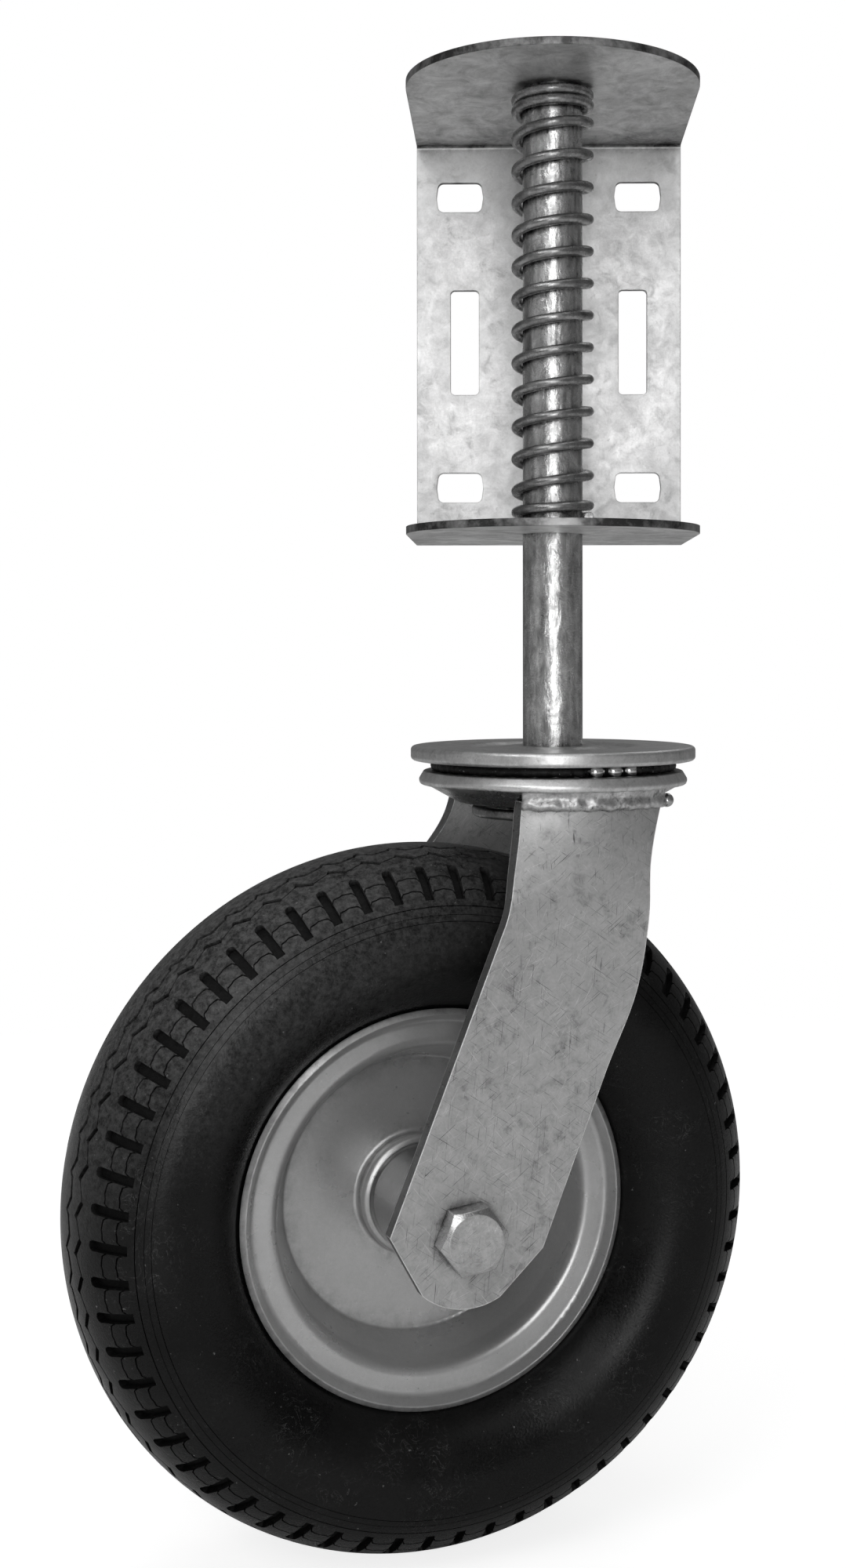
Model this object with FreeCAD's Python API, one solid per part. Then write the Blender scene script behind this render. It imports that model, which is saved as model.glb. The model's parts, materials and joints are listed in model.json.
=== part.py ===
import FreeCAD, Part
import math
import os

# Sprung gate wheel. Millimetres, +Z up. The origin is the centre of the four bolt slots on the back
# face of the bracket's plate. +Y points into the gate that the plate is bolted to, and -Y is the front.

# ---- bracket: one plate bent into a C, with two D-shaped flanges
PLATE_THICKNESS = 2.5
BRACKET_WIDTH = 98.0
BRACKET_HEIGHT = 151.0
STEM_SETBACK = 74.5          # stem axis in front of the plate's back face
BEND_RADIUS = 2.5            # at the middle of the sheet
SLOT_SPACING_X = 66.0
SLOT_SPACING_Z = 108.0
SLOT_LENGTH = 17.2
SLOT_WIDTH = 10.9
SLOT_END_HALF_ANGLE = 8.0    # the slot's end arc, in degrees either side of its centre line
SLOT_CORNER = 2.2
LONG_SLOT_X = 31.2
LONG_SLOT_WIDTH = 10.5
LONG_SLOT_HEIGHT = 38.8
LONG_SLOT_CORNER = 1.6
CUT_MARGIN = 5.0             # how far a cutting tool runs past the face that it cuts

# ---- stem and its spring
STEM_RADIUS = 10.0
STEM_HOLE_CLEARANCE = 0.1
STEM_ABOVE_BRACKET = 10.0
STEM_CHAMFER = 1.2
KINGPIN_RADIUS = 7.0
KINGPIN_THREAD_RADIUS = 6.0
RING_THICKNESS = 1.2
RING_OUTER_RADIUS = 14.0
RING_GROOVE_DEPTH = 0.5
RING_GAP = 7.0
SPRING_WIRE_RADIUS = 1.7
SPRING_RADIUS = 12.15        # to the middle of the wire
SPRING_CLOSED_PITCH = 3.5
SPRING_TURNS = 15
SPRING_FIRST_CLOSED = 1.0    # closed turns at the lower end
SPRING_OPEN_TURNS = 12.33
SPRING_POINTS_PER_TURN = 16

# ---- swivel head, measured down from the top face of its plate
STEM_EXPOSED = 70.5          # bare stem between the bracket and the swivel plate
SWIVEL_RADIUS = 47.5
SWIVEL_THICKNESS = 4.7
SWIVEL_EDGE_ROUND = 1.3
SWIVEL_DISH_INNER = (15.0, 18.0)   # radii of the shallow pressed ring's inner slope
SWIVEL_DISH_OUTER = (25.0, 28.0)
SWIVEL_DISH_DEPTH = 1.0
SWIVEL_DISH_ROUND = 2.0
STEM_WELD_WIDTH = 3.0
STEM_WELD_HEIGHT = 2.4
UPPER_BALL_RADIUS = 3.175
UPPER_BALL_COUNT = 36
UPPER_BALL_PITCH_RADIUS = 37.0
CROWN_TOP = -8.2
CROWN_FLOOR = -14.5
CROWN_BOTTOM = -18.5
CROWN_RADIUS = 44.9
CROWN_BORE = 9.0
CROWN_WELL = 27.5            # radius of the flat floor inside the cup
CROWN_RAISED = (32.5, 43.2)  # radii of the raised flat that the upper balls run on
CROWN_LIP = (-11.0, -12.5)   # heights of the lip's widest stretch
CROWN_WAIST = (41.5, -13.2)  # radius and height where the cup begins under the lip
CROWN_BASE = 32.0
LOWER_BALL_RADIUS = 2.38
LOWER_BALL_COUNT = 26
LOWER_BALL_PITCH_RADIUS = 20.5
LOWER_RACE_TOP = -19.8
LOWER_RACE_BOTTOM = -23.3
LOWER_RACE_RADIUS = 27.0
LOWER_RACE_ROUND = 1.0
BALL_CLEARANCE = 0.1
KINGPIN_NUT_HEIGHT = 7.0
HEX_M12 = 19.0               # across flats
NIPPLE_TILT = 35.0           # degrees below level
NIPPLE_BASE = (36.9, -15.9)  # radius and height of its seat on the crown
NIPPLE_THREAD_RADIUS = 2.6
NIPPLE_THREAD_LENGTH = 4.0
NIPPLE_HEX = 7.0             # across flats
NIPPLE_HEX_ENDS = (0.4, 2.6)
NIPPLE_NECK_RADIUS = (2.0, 1.5)
NIPPLE_NECK_TAPER = 4.0
NIPPLE_HEAD_RADIUS = 2.4
NIPPLE_HEAD_CENTRE = 6.4

# ---- fork
FORK_ANGLE = 21.2            # swivel angle that the wheel is stored at
TRAIL = 49.2                 # axle behind the stem axis
AXLE_DROP = 144.1            # axle below the swivel plate's top face
LEG_THICKNESS = 5.0
LEG_FLAT = 52.7              # outer face of the flat part, from the wheel's middle plane
LEG_WRAP_RADIUS = 42.0       # outer radius of the part that wraps the crown
LEG_TOP = -15.7
LEG_FLAT_TOP = -51.0
LEG_END_RADIUS = 22.0
LEG_WRAP_ANGLE = 34.0
LEG_SHEET_REACH = 41.0       # half width of the sheet that the bent part is cut from
LEG_FLAT_OVERLAP = 6.0       # flat length kept in the bent part's surface, so that it ends flat
LEG_STRAIGHT_SHARE = 0.8     # share of the wrap radius past which the sheet runs on straight
LEG_SECTIONS = 6
# the leg's outline seen along the axle, as (x, z) in the fork's frame
LEG_TRAILING_CURVE = ((-24.2, LEG_TOP), (-26.2, -25.4), (-30.6, -36.5), (-36.9, LEG_FLAT_TOP))
LEG_TRAILING_START = (-0.2, -1.0)    # the way the trailing edge leaves the crown
LEG_LEADING_FINISH = (0.45, 0.9)     # the way the leading edge reaches it
LEG_TRAILING_CORNER = (-73.8, -142.3)
LEG_END_ANGLES = (229.0, 263.0, 298.0)
LEG_LEADING_CORNER = (-24.9, -150.2)
LEG_LEADING_CURVE = (
    (-3.9, -98.0), (5.6, -76.5), (10.5, -53.2), (13.6, -36.0), (18.9, -25.2), (24.2, LEG_TOP),
)
# the bead's section as (radius, height, fillet), from the crown round to the leg's top edge
WELD_SECTION = (
    (39.2, -14.1, 0), (41.6, -13.3, 0), (43.7, -13.6, 0.4), (43.7, -16.8, 1.2),
    (42.4, -18.9, 0.3), (41.8, -18.9, 0), (41.4, -16.2, 0), (39.0, -15.7, 0),
)

# ---- axle
AXLE_RADIUS = 6.0
BOLT_HEAD_HEIGHT = 7.5
BOLT_HEAD_FACE_RADIUS = 8.5
BOLT_LENGTH = 120.0
HEX_TURN = 7.2
NUT_HEIGHT = 10.8
FLAT_WASHER_THICKNESS = 2.5
FLAT_WASHER_RADIUS = 12.0
AXLE_HOLE_CLEARANCE = 0.25
SPACER_WALL = 2.7
SLEEVE_WALL = 2.2

# ---- wheel, with its own axis along the axle and the near side positive
HUB_HALF_LENGTH = 40.0
HUB_RADIUS = 17.5
BEARING_RADIUS = 16.0
BEARING_WIDTH = 10.0
BEARING_BALL_RADIUS = 2.975
BEARING_BALL_PITCH_RADIUS = 11.0
BEARING_BALL_COUNT = 7
BEARING_INNER_RADIUS = 8.6
BEARING_OUTER_INNER_RADIUS = 13.4
CAGE_HALF_WIDTH = 3.6
CAGE_HALF_WALL = 0.6
CAGE_POCKET_CLEARANCE = 0.12
SEAL_THICKNESS = 0.6
SEAL_INSET = 0.4
SEAL_GAP = 0.3
RIM_SHEET = 2.2
RIM_NECK_END = 6.4           # how far the rim's neck reaches along the hub tube
RIM_NECK_BEND = 2.6
# the rest of a rim half's middle line, as (radius, half width, bend radius): drum, bead seat and flange
RIM_OUTER_PATH = ((50.6, 13.0, 5.0), (51.6, 20.2, 2.6), (59.6, 19.6, 3.0), (62.4, 24.2, 0))
RIM_DISC = (45.2, 2.0)       # radius of the flat disc and its bend
HUB_WELD = ((2.2, 0.0, 0), (1.6, 1.6, 0.8), (0.0, 2.2, 0))   # above the hub, past the neck's end, fillet
TYRE_RADIUS = 113.3
TYRE_WIDTH = 73.2
TYRE_SECTION_HALF_HEIGHT = 27.8
TYRE_POWER = 2.04            # exponent of the tyre section's superellipse
TUBE_CENTRE_RADIUS = 81.3
TUBE_HALF_HEIGHT = 24.5
TUBE_HALF_WIDTH = 31.2
TUBE_WALL = 2.0
TUBE_GAP = 0.1
BEAD_START_ANGLE = 47.0      # below the widest point, where the sidewall meets the bead
BEAD_OUTLINE = ((62.0, 19.6), (60.6, 18.2), (53.0, 18.2), (53.0, 9.0))
BEAD_OPENING_HALF_WIDTH = 14.0
BEAD_OPENING_RADIUS = 50.0
SIDEWALL_STEPS = 12
VALVE_TURN = 205.0
VALVE_RADIUS = 3.9
VALVE_SEAT = (57.4, 3.0)     # radius and depth behind the middle plane where the stem leaves the tube
VALVE_LEAN = 52.0            # degrees from the axle's direction towards the hub
VALVE_LENGTH = 24.0
VALVE_METAL_RADIUS = 2.6
VALVE_RUBBER_LENGTH = 13.0
VALVE_HOLE_CLEARANCE = 0.4
VALVE_CAP_RADIUS = (3.6, 3.9)
VALVE_CAP_ENDS = (6.5, 2.0)  # below and past the stem's end

# ---- worked out from the values above
HALF_HEIGHT = BRACKET_HEIGHT / 2
FLANGE_INNER = HALF_HEIGHT - PLATE_THICKNESS
SWIVEL_TOP = -HALF_HEIGHT - STEM_EXPOSED
SPRING_SEAT = -FLANGE_INNER + RING_THICKNESS
UPPER_BALL_HEIGHT = (CROWN_TOP - SWIVEL_THICKNESS) / 2
LOWER_BALL_HEIGHT = (CROWN_BOTTOM + LOWER_RACE_TOP) / 2
LEG_INNER = LEG_FLAT - LEG_THICKNESS
BEARING_CENTRE = HUB_HALF_LENGTH - BEARING_WIDTH / 2
TYRE_CENTRE_RADIUS = TYRE_RADIUS - TYRE_SECTION_HALF_HEIGHT

X_AXIS = FreeCAD.Vector(1, 0, 0)
Y_AXIS = FreeCAD.Vector(0, 1, 0)
Z_AXIS = FreeCAD.Vector(0, 0, 1)
ORIGIN = FreeCAD.Vector(0, 0, 0)


# ---- helpers

def rounded_edges(corners):
    """Edges of a closed outline in the XZ plane. Each corner is (x, z, radius of its fillet)."""
    points = [FreeCAD.Vector(x, 0, z) for x, z, _ in corners]
    starts = []
    ends = []
    arcs = []
    for i, corner in enumerate(corners):
        here = points[i]
        back = (points[i - 1] - here).normalize()
        ahead = (points[(i + 1) % len(points)] - here).normalize()
        radius = corner[2]
        half = math.acos(max(-1.0, min(1.0, back.dot(ahead)))) / 2
        if radius == 0 or half > math.radians(89.9):
            starts.append(here)
            ends.append(here)
            arcs.append(None)
            continue
        trim = radius / math.tan(half)
        centre = here + (back + ahead).normalize() * (radius / math.sin(half))
        middle = centre + (here - centre).normalize() * radius
        starts.append(here + back * trim)
        ends.append(here + ahead * trim)
        arcs.append(middle)
    edges = []
    for i in range(len(points)):
        following = (i + 1) % len(points)
        if arcs[i] is not None:
            edges.append(Part.Arc(starts[i], arcs[i], ends[i]).toShape())
        if (starts[following] - ends[i]).Length > 1e-6:
            edges.append(Part.LineSegment(ends[i], starts[following]).toShape())
    return edges


def outline(corners):
    return Part.Wire(rounded_edges(corners))


def turned(corners):
    """A solid of revolution about Z, from a closed outline of (radius, height, fillet)."""
    return Part.Face(outline(corners)).revolve(ORIGIN, Z_AXIS, 360)


def sheet_corners(path, thickness):
    """The closed outline of a bent sheet. The path is its middle line: (x, z, bend radius)."""
    sides = {1: [], -1: []}
    for i, (x, z, bend) in enumerate(path):
        here = FreeCAD.Vector(x, 0, z)
        into = None
        out = None
        if i > 0:
            into = (here - FreeCAD.Vector(path[i - 1][0], 0, path[i - 1][1])).normalize()
        if i < len(path) - 1:
            out = (FreeCAD.Vector(path[i + 1][0], 0, path[i + 1][1]) - here).normalize()
        first = into or out
        second = out or into
        normal_in = FreeCAD.Vector(-first.z, 0, first.x)
        normal_out = FreeCAD.Vector(-second.z, 0, second.x)
        mitre = normal_in + normal_out
        mitre = mitre * (thickness / mitre.dot(mitre))
        turn = first.x * second.z - first.z * second.x
        for side, corners in sides.items():
            radius = bend - side * math.copysign(thickness / 2, turn) if bend else 0
            corners.append((x + side * mitre.x, z + side * mitre.z, radius))
    return sides[1] + sides[-1][::-1]


def ring(outer, inner, low, high):
    """A plain ring about Z."""
    return turned([(inner, low, 0), (outer, low, 0), (outer, high, 0), (inner, high, 0)])


def ball_ring(count, ball_radius, pitch_radius, height, first_angle=0.0):
    """Separate balls, evenly spaced on a circle about Z."""
    balls = []
    for i in range(count):
        angle = math.radians(first_angle) + 2 * math.pi * i / count
        centre = FreeCAD.Vector(pitch_radius * math.cos(angle), pitch_radius * math.sin(angle), height)
        balls.append(Part.makeSphere(ball_radius, centre))
    return balls


def ball_groove(ball_radius, pitch_radius, height):
    return Part.makeTorus(pitch_radius, ball_radius + BALL_CLEARANCE, FreeCAD.Vector(0, 0, height))


def hexagon(across_flats, low, high, turn=0.0):
    """A hexagonal prism about Z, with one corner at the given angle."""
    corner_radius = across_flats / math.sqrt(3)
    points = []
    for i in range(7):
        angle = math.radians(turn + 60 * i)
        points.append(FreeCAD.Vector(corner_radius * math.cos(angle), corner_radius * math.sin(angle), low))
    return Part.Face(Part.makePolygon(points)).extrude(FreeCAD.Vector(0, 0, high - low))


def chamfered_hexagon(across_flats, face_radius, low, high, turn, both_ends):
    """A hexagon whose corners are turned away at its high end, or at both ends."""
    corner_radius = across_flats / math.sqrt(3) + 0.1
    drop = (corner_radius - face_radius) * math.tan(math.radians(30))
    corners = [(0, low, 0), (corner_radius, low, 0), (corner_radius, high - drop, 0)]
    if both_ends:
        corners = [(0, low, 0), (face_radius, low, 0), (corner_radius, low + drop, 0)]
        corners.append((corner_radius, high - drop, 0))
    corners.append((face_radius, high, 0))
    corners.append((0, high, 0))
    return hexagon(across_flats, low, high, turn).common(turned(corners))


def on_stem(shape):
    """From the swivel head's own frame, whose origin is on the stem at the plate's top face."""
    placed = shape.copy()
    placed.translate(FreeCAD.Vector(0, -STEM_SETBACK, SWIVEL_TOP))
    return placed


def on_fork(shape):
    """From the fork's own frame, where the wheel trails along -X and its near side faces -Y."""
    placed = shape.copy()
    placed.rotate(ORIGIN, Z_AXIS, FORK_ANGLE)
    return on_stem(placed)


def on_axle(shape):
    """From the wheel's own frame, where the axle is Z and the near side is +Z."""
    placed = shape.copy()
    placed.rotate(ORIGIN, X_AXIS, 90)
    placed.translate(FreeCAD.Vector(-TRAIL, 0, -AXLE_DROP))
    return on_fork(placed)


def far_side(shape):
    """The same piece on the far side of the wheel's middle plane, in the wheel's own frame."""
    return shape.mirror(ORIGIN, Z_AXIS)


def group(shapes):
    return Part.makeCompound(shapes)


# ---- bracket body

def slot_face(length, width):
    """A bolt slot's outline, whose bulged ends are arcs of half its width, with square-cut corners."""
    arc_radius = width / 2
    arc_centre = length / 2 - arc_radius
    angle = math.radians(SLOT_END_HALF_ANGLE)
    arc_x = arc_centre + arc_radius * math.cos(angle)
    arc_z = arc_radius * math.sin(angle)
    corner_x = arc_x - (width / 2 - arc_z) * math.tan(angle)
    corners = []
    for x, z, radius in (
        (arc_x, arc_z, 0),
        (corner_x, width / 2, SLOT_CORNER),
        (-corner_x, width / 2, SLOT_CORNER),
        (-arc_x, arc_z, 0),
        (-arc_x, -arc_z, 0),
        (-corner_x, -width / 2, SLOT_CORNER),
        (corner_x, -width / 2, SLOT_CORNER),
        (arc_x, -arc_z, 0),
    ):
        corners.append((x, z, radius))
    edges = []
    for edge in rounded_edges(corners):
        first, last = edge.firstVertex().Point, edge.lastVertex().Point
        if abs(first.x - last.x) < 1e-6 and abs(abs(first.x) - arc_x) < 1e-6:
            tip = FreeCAD.Vector(math.copysign(length / 2, first.x), 0, 0)
            edge = Part.Arc(first, tip, last).toShape()
        edges.append(edge)
    return Part.Face(Part.Wire(edges))


def through_plate(face, x, z):
    """Cuts a face in the XZ plane right through the bracket's plate."""
    cutter = face.copy()
    cutter.translate(FreeCAD.Vector(x, CUT_MARGIN, z))
    return cutter.extrude(FreeCAD.Vector(0, -PLATE_THICKNESS - 2 * CUT_MARGIN, 0))


def bracket():
    middle = PLATE_THICKNESS / 2
    front = -STEM_SETBACK - BRACKET_WIDTH / 2
    level = HALF_HEIGHT - middle
    path = [
        (front, -level, 0),
        (-middle, -level, BEND_RADIUS),
        (-middle, level, BEND_RADIUS),
        (front, level, 0),
    ]
    profile = Part.Face(outline(sheet_corners(path, PLATE_THICKNESS)))
    profile.rotate(ORIGIN, Z_AXIS, 90)
    profile.translate(FreeCAD.Vector(-BRACKET_WIDTH / 2, 0, 0))
    bent = profile.extrude(FreeCAD.Vector(BRACKET_WIDTH, 0, 0))
    half = BRACKET_WIDTH / 2
    square = Part.makeBox(
        BRACKET_WIDTH, STEM_SETBACK, BRACKET_HEIGHT, FreeCAD.Vector(-half, -STEM_SETBACK, -HALF_HEIGHT)
    )
    round_front = Part.makeCylinder(half, BRACKET_HEIGHT, FreeCAD.Vector(0, -STEM_SETBACK, -HALF_HEIGHT))
    body = bent.common(square.fuse(round_front))
    hole = Part.makeCylinder(
        STEM_RADIUS + STEM_HOLE_CLEARANCE, BRACKET_HEIGHT, FreeCAD.Vector(0, -STEM_SETBACK, -HALF_HEIGHT)
    )
    body = body.cut(hole)
    bolt_slot = slot_face(SLOT_LENGTH, SLOT_WIDTH)
    long_slot = Part.Face(outline([
        (side * LONG_SLOT_WIDTH / 2, row * LONG_SLOT_HEIGHT / 2, LONG_SLOT_CORNER)
        for side, row in ((1, 1), (-1, 1), (-1, -1), (1, -1))
    ]))
    for side in (-1, 1):
        for row in (-1, 1):
            body = body.cut(through_plate(bolt_slot, side * SLOT_SPACING_X / 2, row * SLOT_SPACING_Z / 2))
        body = body.cut(through_plate(long_slot, side * LONG_SLOT_X, 0))
    return body.removeSplitter()


def spring_height(turn, open_pitch):
    """Height of the wire's middle above its lower end, after a number of turns."""
    closed_turns = min(turn, SPRING_FIRST_CLOSED) + max(0.0, turn - SPRING_FIRST_CLOSED - SPRING_OPEN_TURNS)
    return closed_turns * SPRING_CLOSED_PITCH + (turn - closed_turns) * open_pitch


def compression_spring():
    """Closed coils at both ends and open ones between them, wound right-handed."""
    bottom = SPRING_SEAT + SPRING_WIRE_RADIUS
    top = FLANGE_INNER - SPRING_WIRE_RADIUS
    closed_height = (SPRING_TURNS - SPRING_OPEN_TURNS) * SPRING_CLOSED_PITCH
    open_pitch = (top - bottom - closed_height) / SPRING_OPEN_TURNS
    points = []
    blend = (-0.25, -0.125, 0.0, 0.125, 0.25)
    for i in range(SPRING_TURNS * SPRING_POINTS_PER_TURN + 1):
        turn = i / SPRING_POINTS_PER_TURN
        near_turns = [min(max(turn + shift, 0.0), SPRING_TURNS) for shift in blend]
        height = sum(spring_height(near, open_pitch) for near in near_turns) / len(blend)
        angle = 2 * math.pi * turn
        points.append(FreeCAD.Vector(
            SPRING_RADIUS * math.cos(angle), SPRING_RADIUS * math.sin(angle), bottom + height
        ))
    path = Part.BSplineCurve()
    path.interpolate(points)
    section = Part.makeCircle(SPRING_WIRE_RADIUS, points[0], path.tangent(path.FirstParameter)[0])
    spring = Part.Wire(path.toShape()).makePipeShell([Part.Wire(section)], True, True)
    spring.translate(FreeCAD.Vector(0, -STEM_SETBACK, 0))
    return spring


# ---- stem body, in the swivel head's frame

def stem_rod():
    top = STEM_EXPOSED + BRACKET_HEIGHT + STEM_ABOVE_BRACKET
    groove_low = STEM_EXPOSED + PLATE_THICKNESS
    groove_radius = STEM_RADIUS - RING_GROOVE_DEPTH
    end = LOWER_RACE_BOTTOM - KINGPIN_NUT_HEIGHT - STEM_CHAMFER
    return on_stem(turned([
        (0, top, 0),
        (STEM_RADIUS - STEM_CHAMFER, top, 0),
        (STEM_RADIUS, top - STEM_CHAMFER, 0),
        (STEM_RADIUS, groove_low + RING_THICKNESS, 0),
        (groove_radius, groove_low + RING_THICKNESS, 0),
        (groove_radius, groove_low, 0),
        (STEM_RADIUS, groove_low, 0),
        (STEM_RADIUS, -SWIVEL_THICKNESS, 0),
        (KINGPIN_RADIUS, -SWIVEL_THICKNESS, 0),
        (KINGPIN_RADIUS, LOWER_RACE_BOTTOM, 0),
        (KINGPIN_THREAD_RADIUS, LOWER_RACE_BOTTOM, 0),
        (KINGPIN_THREAD_RADIUS, end + STEM_CHAMFER, 0),
        (KINGPIN_THREAD_RADIUS - STEM_CHAMFER, end, 0),
        (0, end, 0),
    ]))


def retaining_ring():
    """A split ring in the stem's groove. It rests on the lower flange and carries the spring."""
    low = STEM_EXPOSED + PLATE_THICKNESS
    inner = STEM_RADIUS - RING_GROOVE_DEPTH
    whole = ring(RING_OUTER_RADIUS, inner, low, low + RING_THICKNESS)
    gap = Part.makeBox(RING_GAP, RING_OUTER_RADIUS, RING_THICKNESS, FreeCAD.Vector(-RING_GAP / 2, 0, low))
    return on_stem(whole.cut(gap))


def swivel_top_plate():
    plate = turned([
        (STEM_RADIUS, 0, 0),
        (SWIVEL_DISH_INNER[0], 0, SWIVEL_DISH_ROUND),
        (SWIVEL_DISH_INNER[1], -SWIVEL_DISH_DEPTH, SWIVEL_DISH_ROUND),
        (SWIVEL_DISH_OUTER[0], -SWIVEL_DISH_DEPTH, SWIVEL_DISH_ROUND),
        (SWIVEL_DISH_OUTER[1], 0, SWIVEL_DISH_ROUND),
        (SWIVEL_RADIUS, 0, SWIVEL_EDGE_ROUND),
        (SWIVEL_RADIUS, -SWIVEL_THICKNESS, SWIVEL_EDGE_ROUND),
        (STEM_RADIUS, -SWIVEL_THICKNESS, 0),
    ])
    return on_stem(plate.cut(ball_groove(UPPER_BALL_RADIUS, UPPER_BALL_PITCH_RADIUS, UPPER_BALL_HEIGHT)))


def stem_weld():
    """The weld that holds the stem in the swivel plate, under the plate."""
    low = -SWIVEL_THICKNESS - STEM_WELD_HEIGHT
    return on_stem(turned([
        (KINGPIN_RADIUS, -SWIVEL_THICKNESS, 0),
        (STEM_RADIUS + STEM_WELD_WIDTH, -SWIVEL_THICKNESS, 0),
        (STEM_RADIUS, low, STEM_WELD_HEIGHT / 2),
        (KINGPIN_RADIUS, low, 0),
    ]))


def lower_race():
    race = turned([
        (KINGPIN_RADIUS, LOWER_RACE_TOP, 0),
        (LOWER_RACE_RADIUS, LOWER_RACE_TOP, LOWER_RACE_ROUND),
        (LOWER_RACE_RADIUS, LOWER_RACE_BOTTOM, LOWER_RACE_ROUND),
        (KINGPIN_RADIUS, LOWER_RACE_BOTTOM, 0),
    ])
    return on_stem(race.cut(ball_groove(LOWER_BALL_RADIUS, LOWER_BALL_PITCH_RADIUS, LOWER_BALL_HEIGHT)))


def kingpin_nut():
    low = LOWER_RACE_BOTTOM - KINGPIN_NUT_HEIGHT
    nut = chamfered_hexagon(HEX_M12, HEX_M12 / 2, low, LOWER_RACE_BOTTOM, 0, True)
    bore = Part.makeCylinder(KINGPIN_THREAD_RADIUS, KINGPIN_NUT_HEIGHT, FreeCAD.Vector(0, 0, low))
    return on_stem(nut.cut(bore))


def upper_balls():
    return on_stem(group(ball_ring(
        UPPER_BALL_COUNT, UPPER_BALL_RADIUS, UPPER_BALL_PITCH_RADIUS, UPPER_BALL_HEIGHT
    )))


def lower_balls():
    return on_stem(group(ball_ring(
        LOWER_BALL_COUNT, LOWER_BALL_RADIUS, LOWER_BALL_PITCH_RADIUS, LOWER_BALL_HEIGHT
    )))


# ---- fork body

def on_nipple(shape):
    """From a frame along the grease nipple, whose origin is its seat, to the fork's frame."""
    placed = shape.copy()
    placed.rotate(ORIGIN, Y_AXIS, 90 + NIPPLE_TILT)
    placed.translate(FreeCAD.Vector(NIPPLE_BASE[0], 0, NIPPLE_BASE[1]))
    return placed


def fork_crown():
    """The pressed cup that carries both rows of swivel balls and both legs."""
    cup = turned([
        (CROWN_BORE, CROWN_BOTTOM, 0.5),
        (CROWN_BORE, CROWN_FLOOR, 1.0),
        (CROWN_WELL, CROWN_FLOOR, 3.0),
        (CROWN_RAISED[0], CROWN_TOP, 1.0),
        (CROWN_RAISED[1], CROWN_TOP, 0.7),
        (CROWN_RADIUS, CROWN_LIP[0], 1.5),
        (CROWN_RADIUS - 0.5, CROWN_LIP[1], 0.8),
        (CROWN_WAIST[0], CROWN_WAIST[1], 1.0),
        (CROWN_BASE, CROWN_BOTTOM, 2.0),
    ])
    cup = cup.cut(ball_groove(UPPER_BALL_RADIUS, UPPER_BALL_PITCH_RADIUS, UPPER_BALL_HEIGHT))
    cup = cup.cut(ball_groove(LOWER_BALL_RADIUS, LOWER_BALL_PITCH_RADIUS, LOWER_BALL_HEIGHT))
    depth = NIPPLE_THREAD_LENGTH + 2 * CUT_MARGIN
    thread = Part.makeCylinder(NIPPLE_THREAD_RADIUS, depth + CUT_MARGIN, FreeCAD.Vector(0, 0, -depth))
    return on_fork(cup.cut(on_nipple(thread)))


def grease_nipple():
    """Threaded shank, hexagon, neck and ball head."""
    low, high = NIPPLE_HEX_ENDS
    wide, narrow = NIPPLE_NECK_RADIUS
    shank = Part.makeCylinder(
        NIPPLE_THREAD_RADIUS, NIPPLE_THREAD_LENGTH + high / 2, FreeCAD.Vector(0, 0, -NIPPLE_THREAD_LENGTH)
    )
    base = hexagon(NIPPLE_HEX, low, high)
    neck = turned([
        (0, high, 0),
        (wide, high, 0),
        (narrow, NIPPLE_NECK_TAPER, 0),
        (narrow, NIPPLE_HEAD_CENTRE, 0),
        (0, NIPPLE_HEAD_CENTRE, 0),
    ])
    head = Part.makeSphere(NIPPLE_HEAD_RADIUS, FreeCAD.Vector(0, 0, NIPPLE_HEAD_CENTRE))
    return on_fork(on_nipple(shank.multiFuse([base, neck, head])))


def leg_level(height):
    """How far the leg has opened out from the crown at a height: 0 wrapped round it, 1 flat."""
    share = (LEG_TOP - height) / (LEG_TOP - LEG_FLAT_TOP)
    share = max(0.0, min(1.0, share))
    return share * share * (3 - 2 * share)


def wrapped_distance(x, radius):
    """How far in front of the stem axis the wrapped sheet is. Past its widest use it runs on straight."""
    limit = LEG_STRAIGHT_SHARE * radius
    inside = min(abs(x), limit)
    depth = math.sqrt(radius * radius - inside * inside)
    return depth - (abs(x) - inside) * inside / depth


def leg_sheet_section(height):
    """The sheet's level outline at a height, wider than the leg, in the fork's frame."""
    share = leg_level(height)
    outer, inner = [], []
    for row, depth in ((outer, 0.0), (inner, LEG_THICKNESS)):
        for i in range(2 * LEG_SECTIONS + 1):
            x = LEG_SHEET_REACH * (i / LEG_SECTIONS - 1)
            wrapped = wrapped_distance(x, LEG_WRAP_RADIUS - depth)
            y = -(wrapped * (1 - share) + (LEG_FLAT - depth) * share)
            row.append(FreeCAD.Vector(x, y, height))
    edges = []
    for row in (outer, inner):
        curve = Part.BSplineCurve()
        curve.interpolate(row)
        edges.append(curve.toShape())
    edges.append(Part.LineSegment(outer[-1], inner[-1]).toShape())
    edges.append(Part.LineSegment(inner[0], outer[0]).toShape())
    return Part.Wire(Part.__sortEdges__(edges))


def curve_through(spots, first_way, last_way):
    """A smooth edge through (x, z) spots, with the way it sets off and the way it arrives."""
    curve = Part.BSplineCurve()
    points = [FreeCAD.Vector(x, 0, z) for x, z in spots]
    curve.interpolate(points, InitialTangent=first_way, FinalTangent=last_way)
    return curve.toShape()


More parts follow.
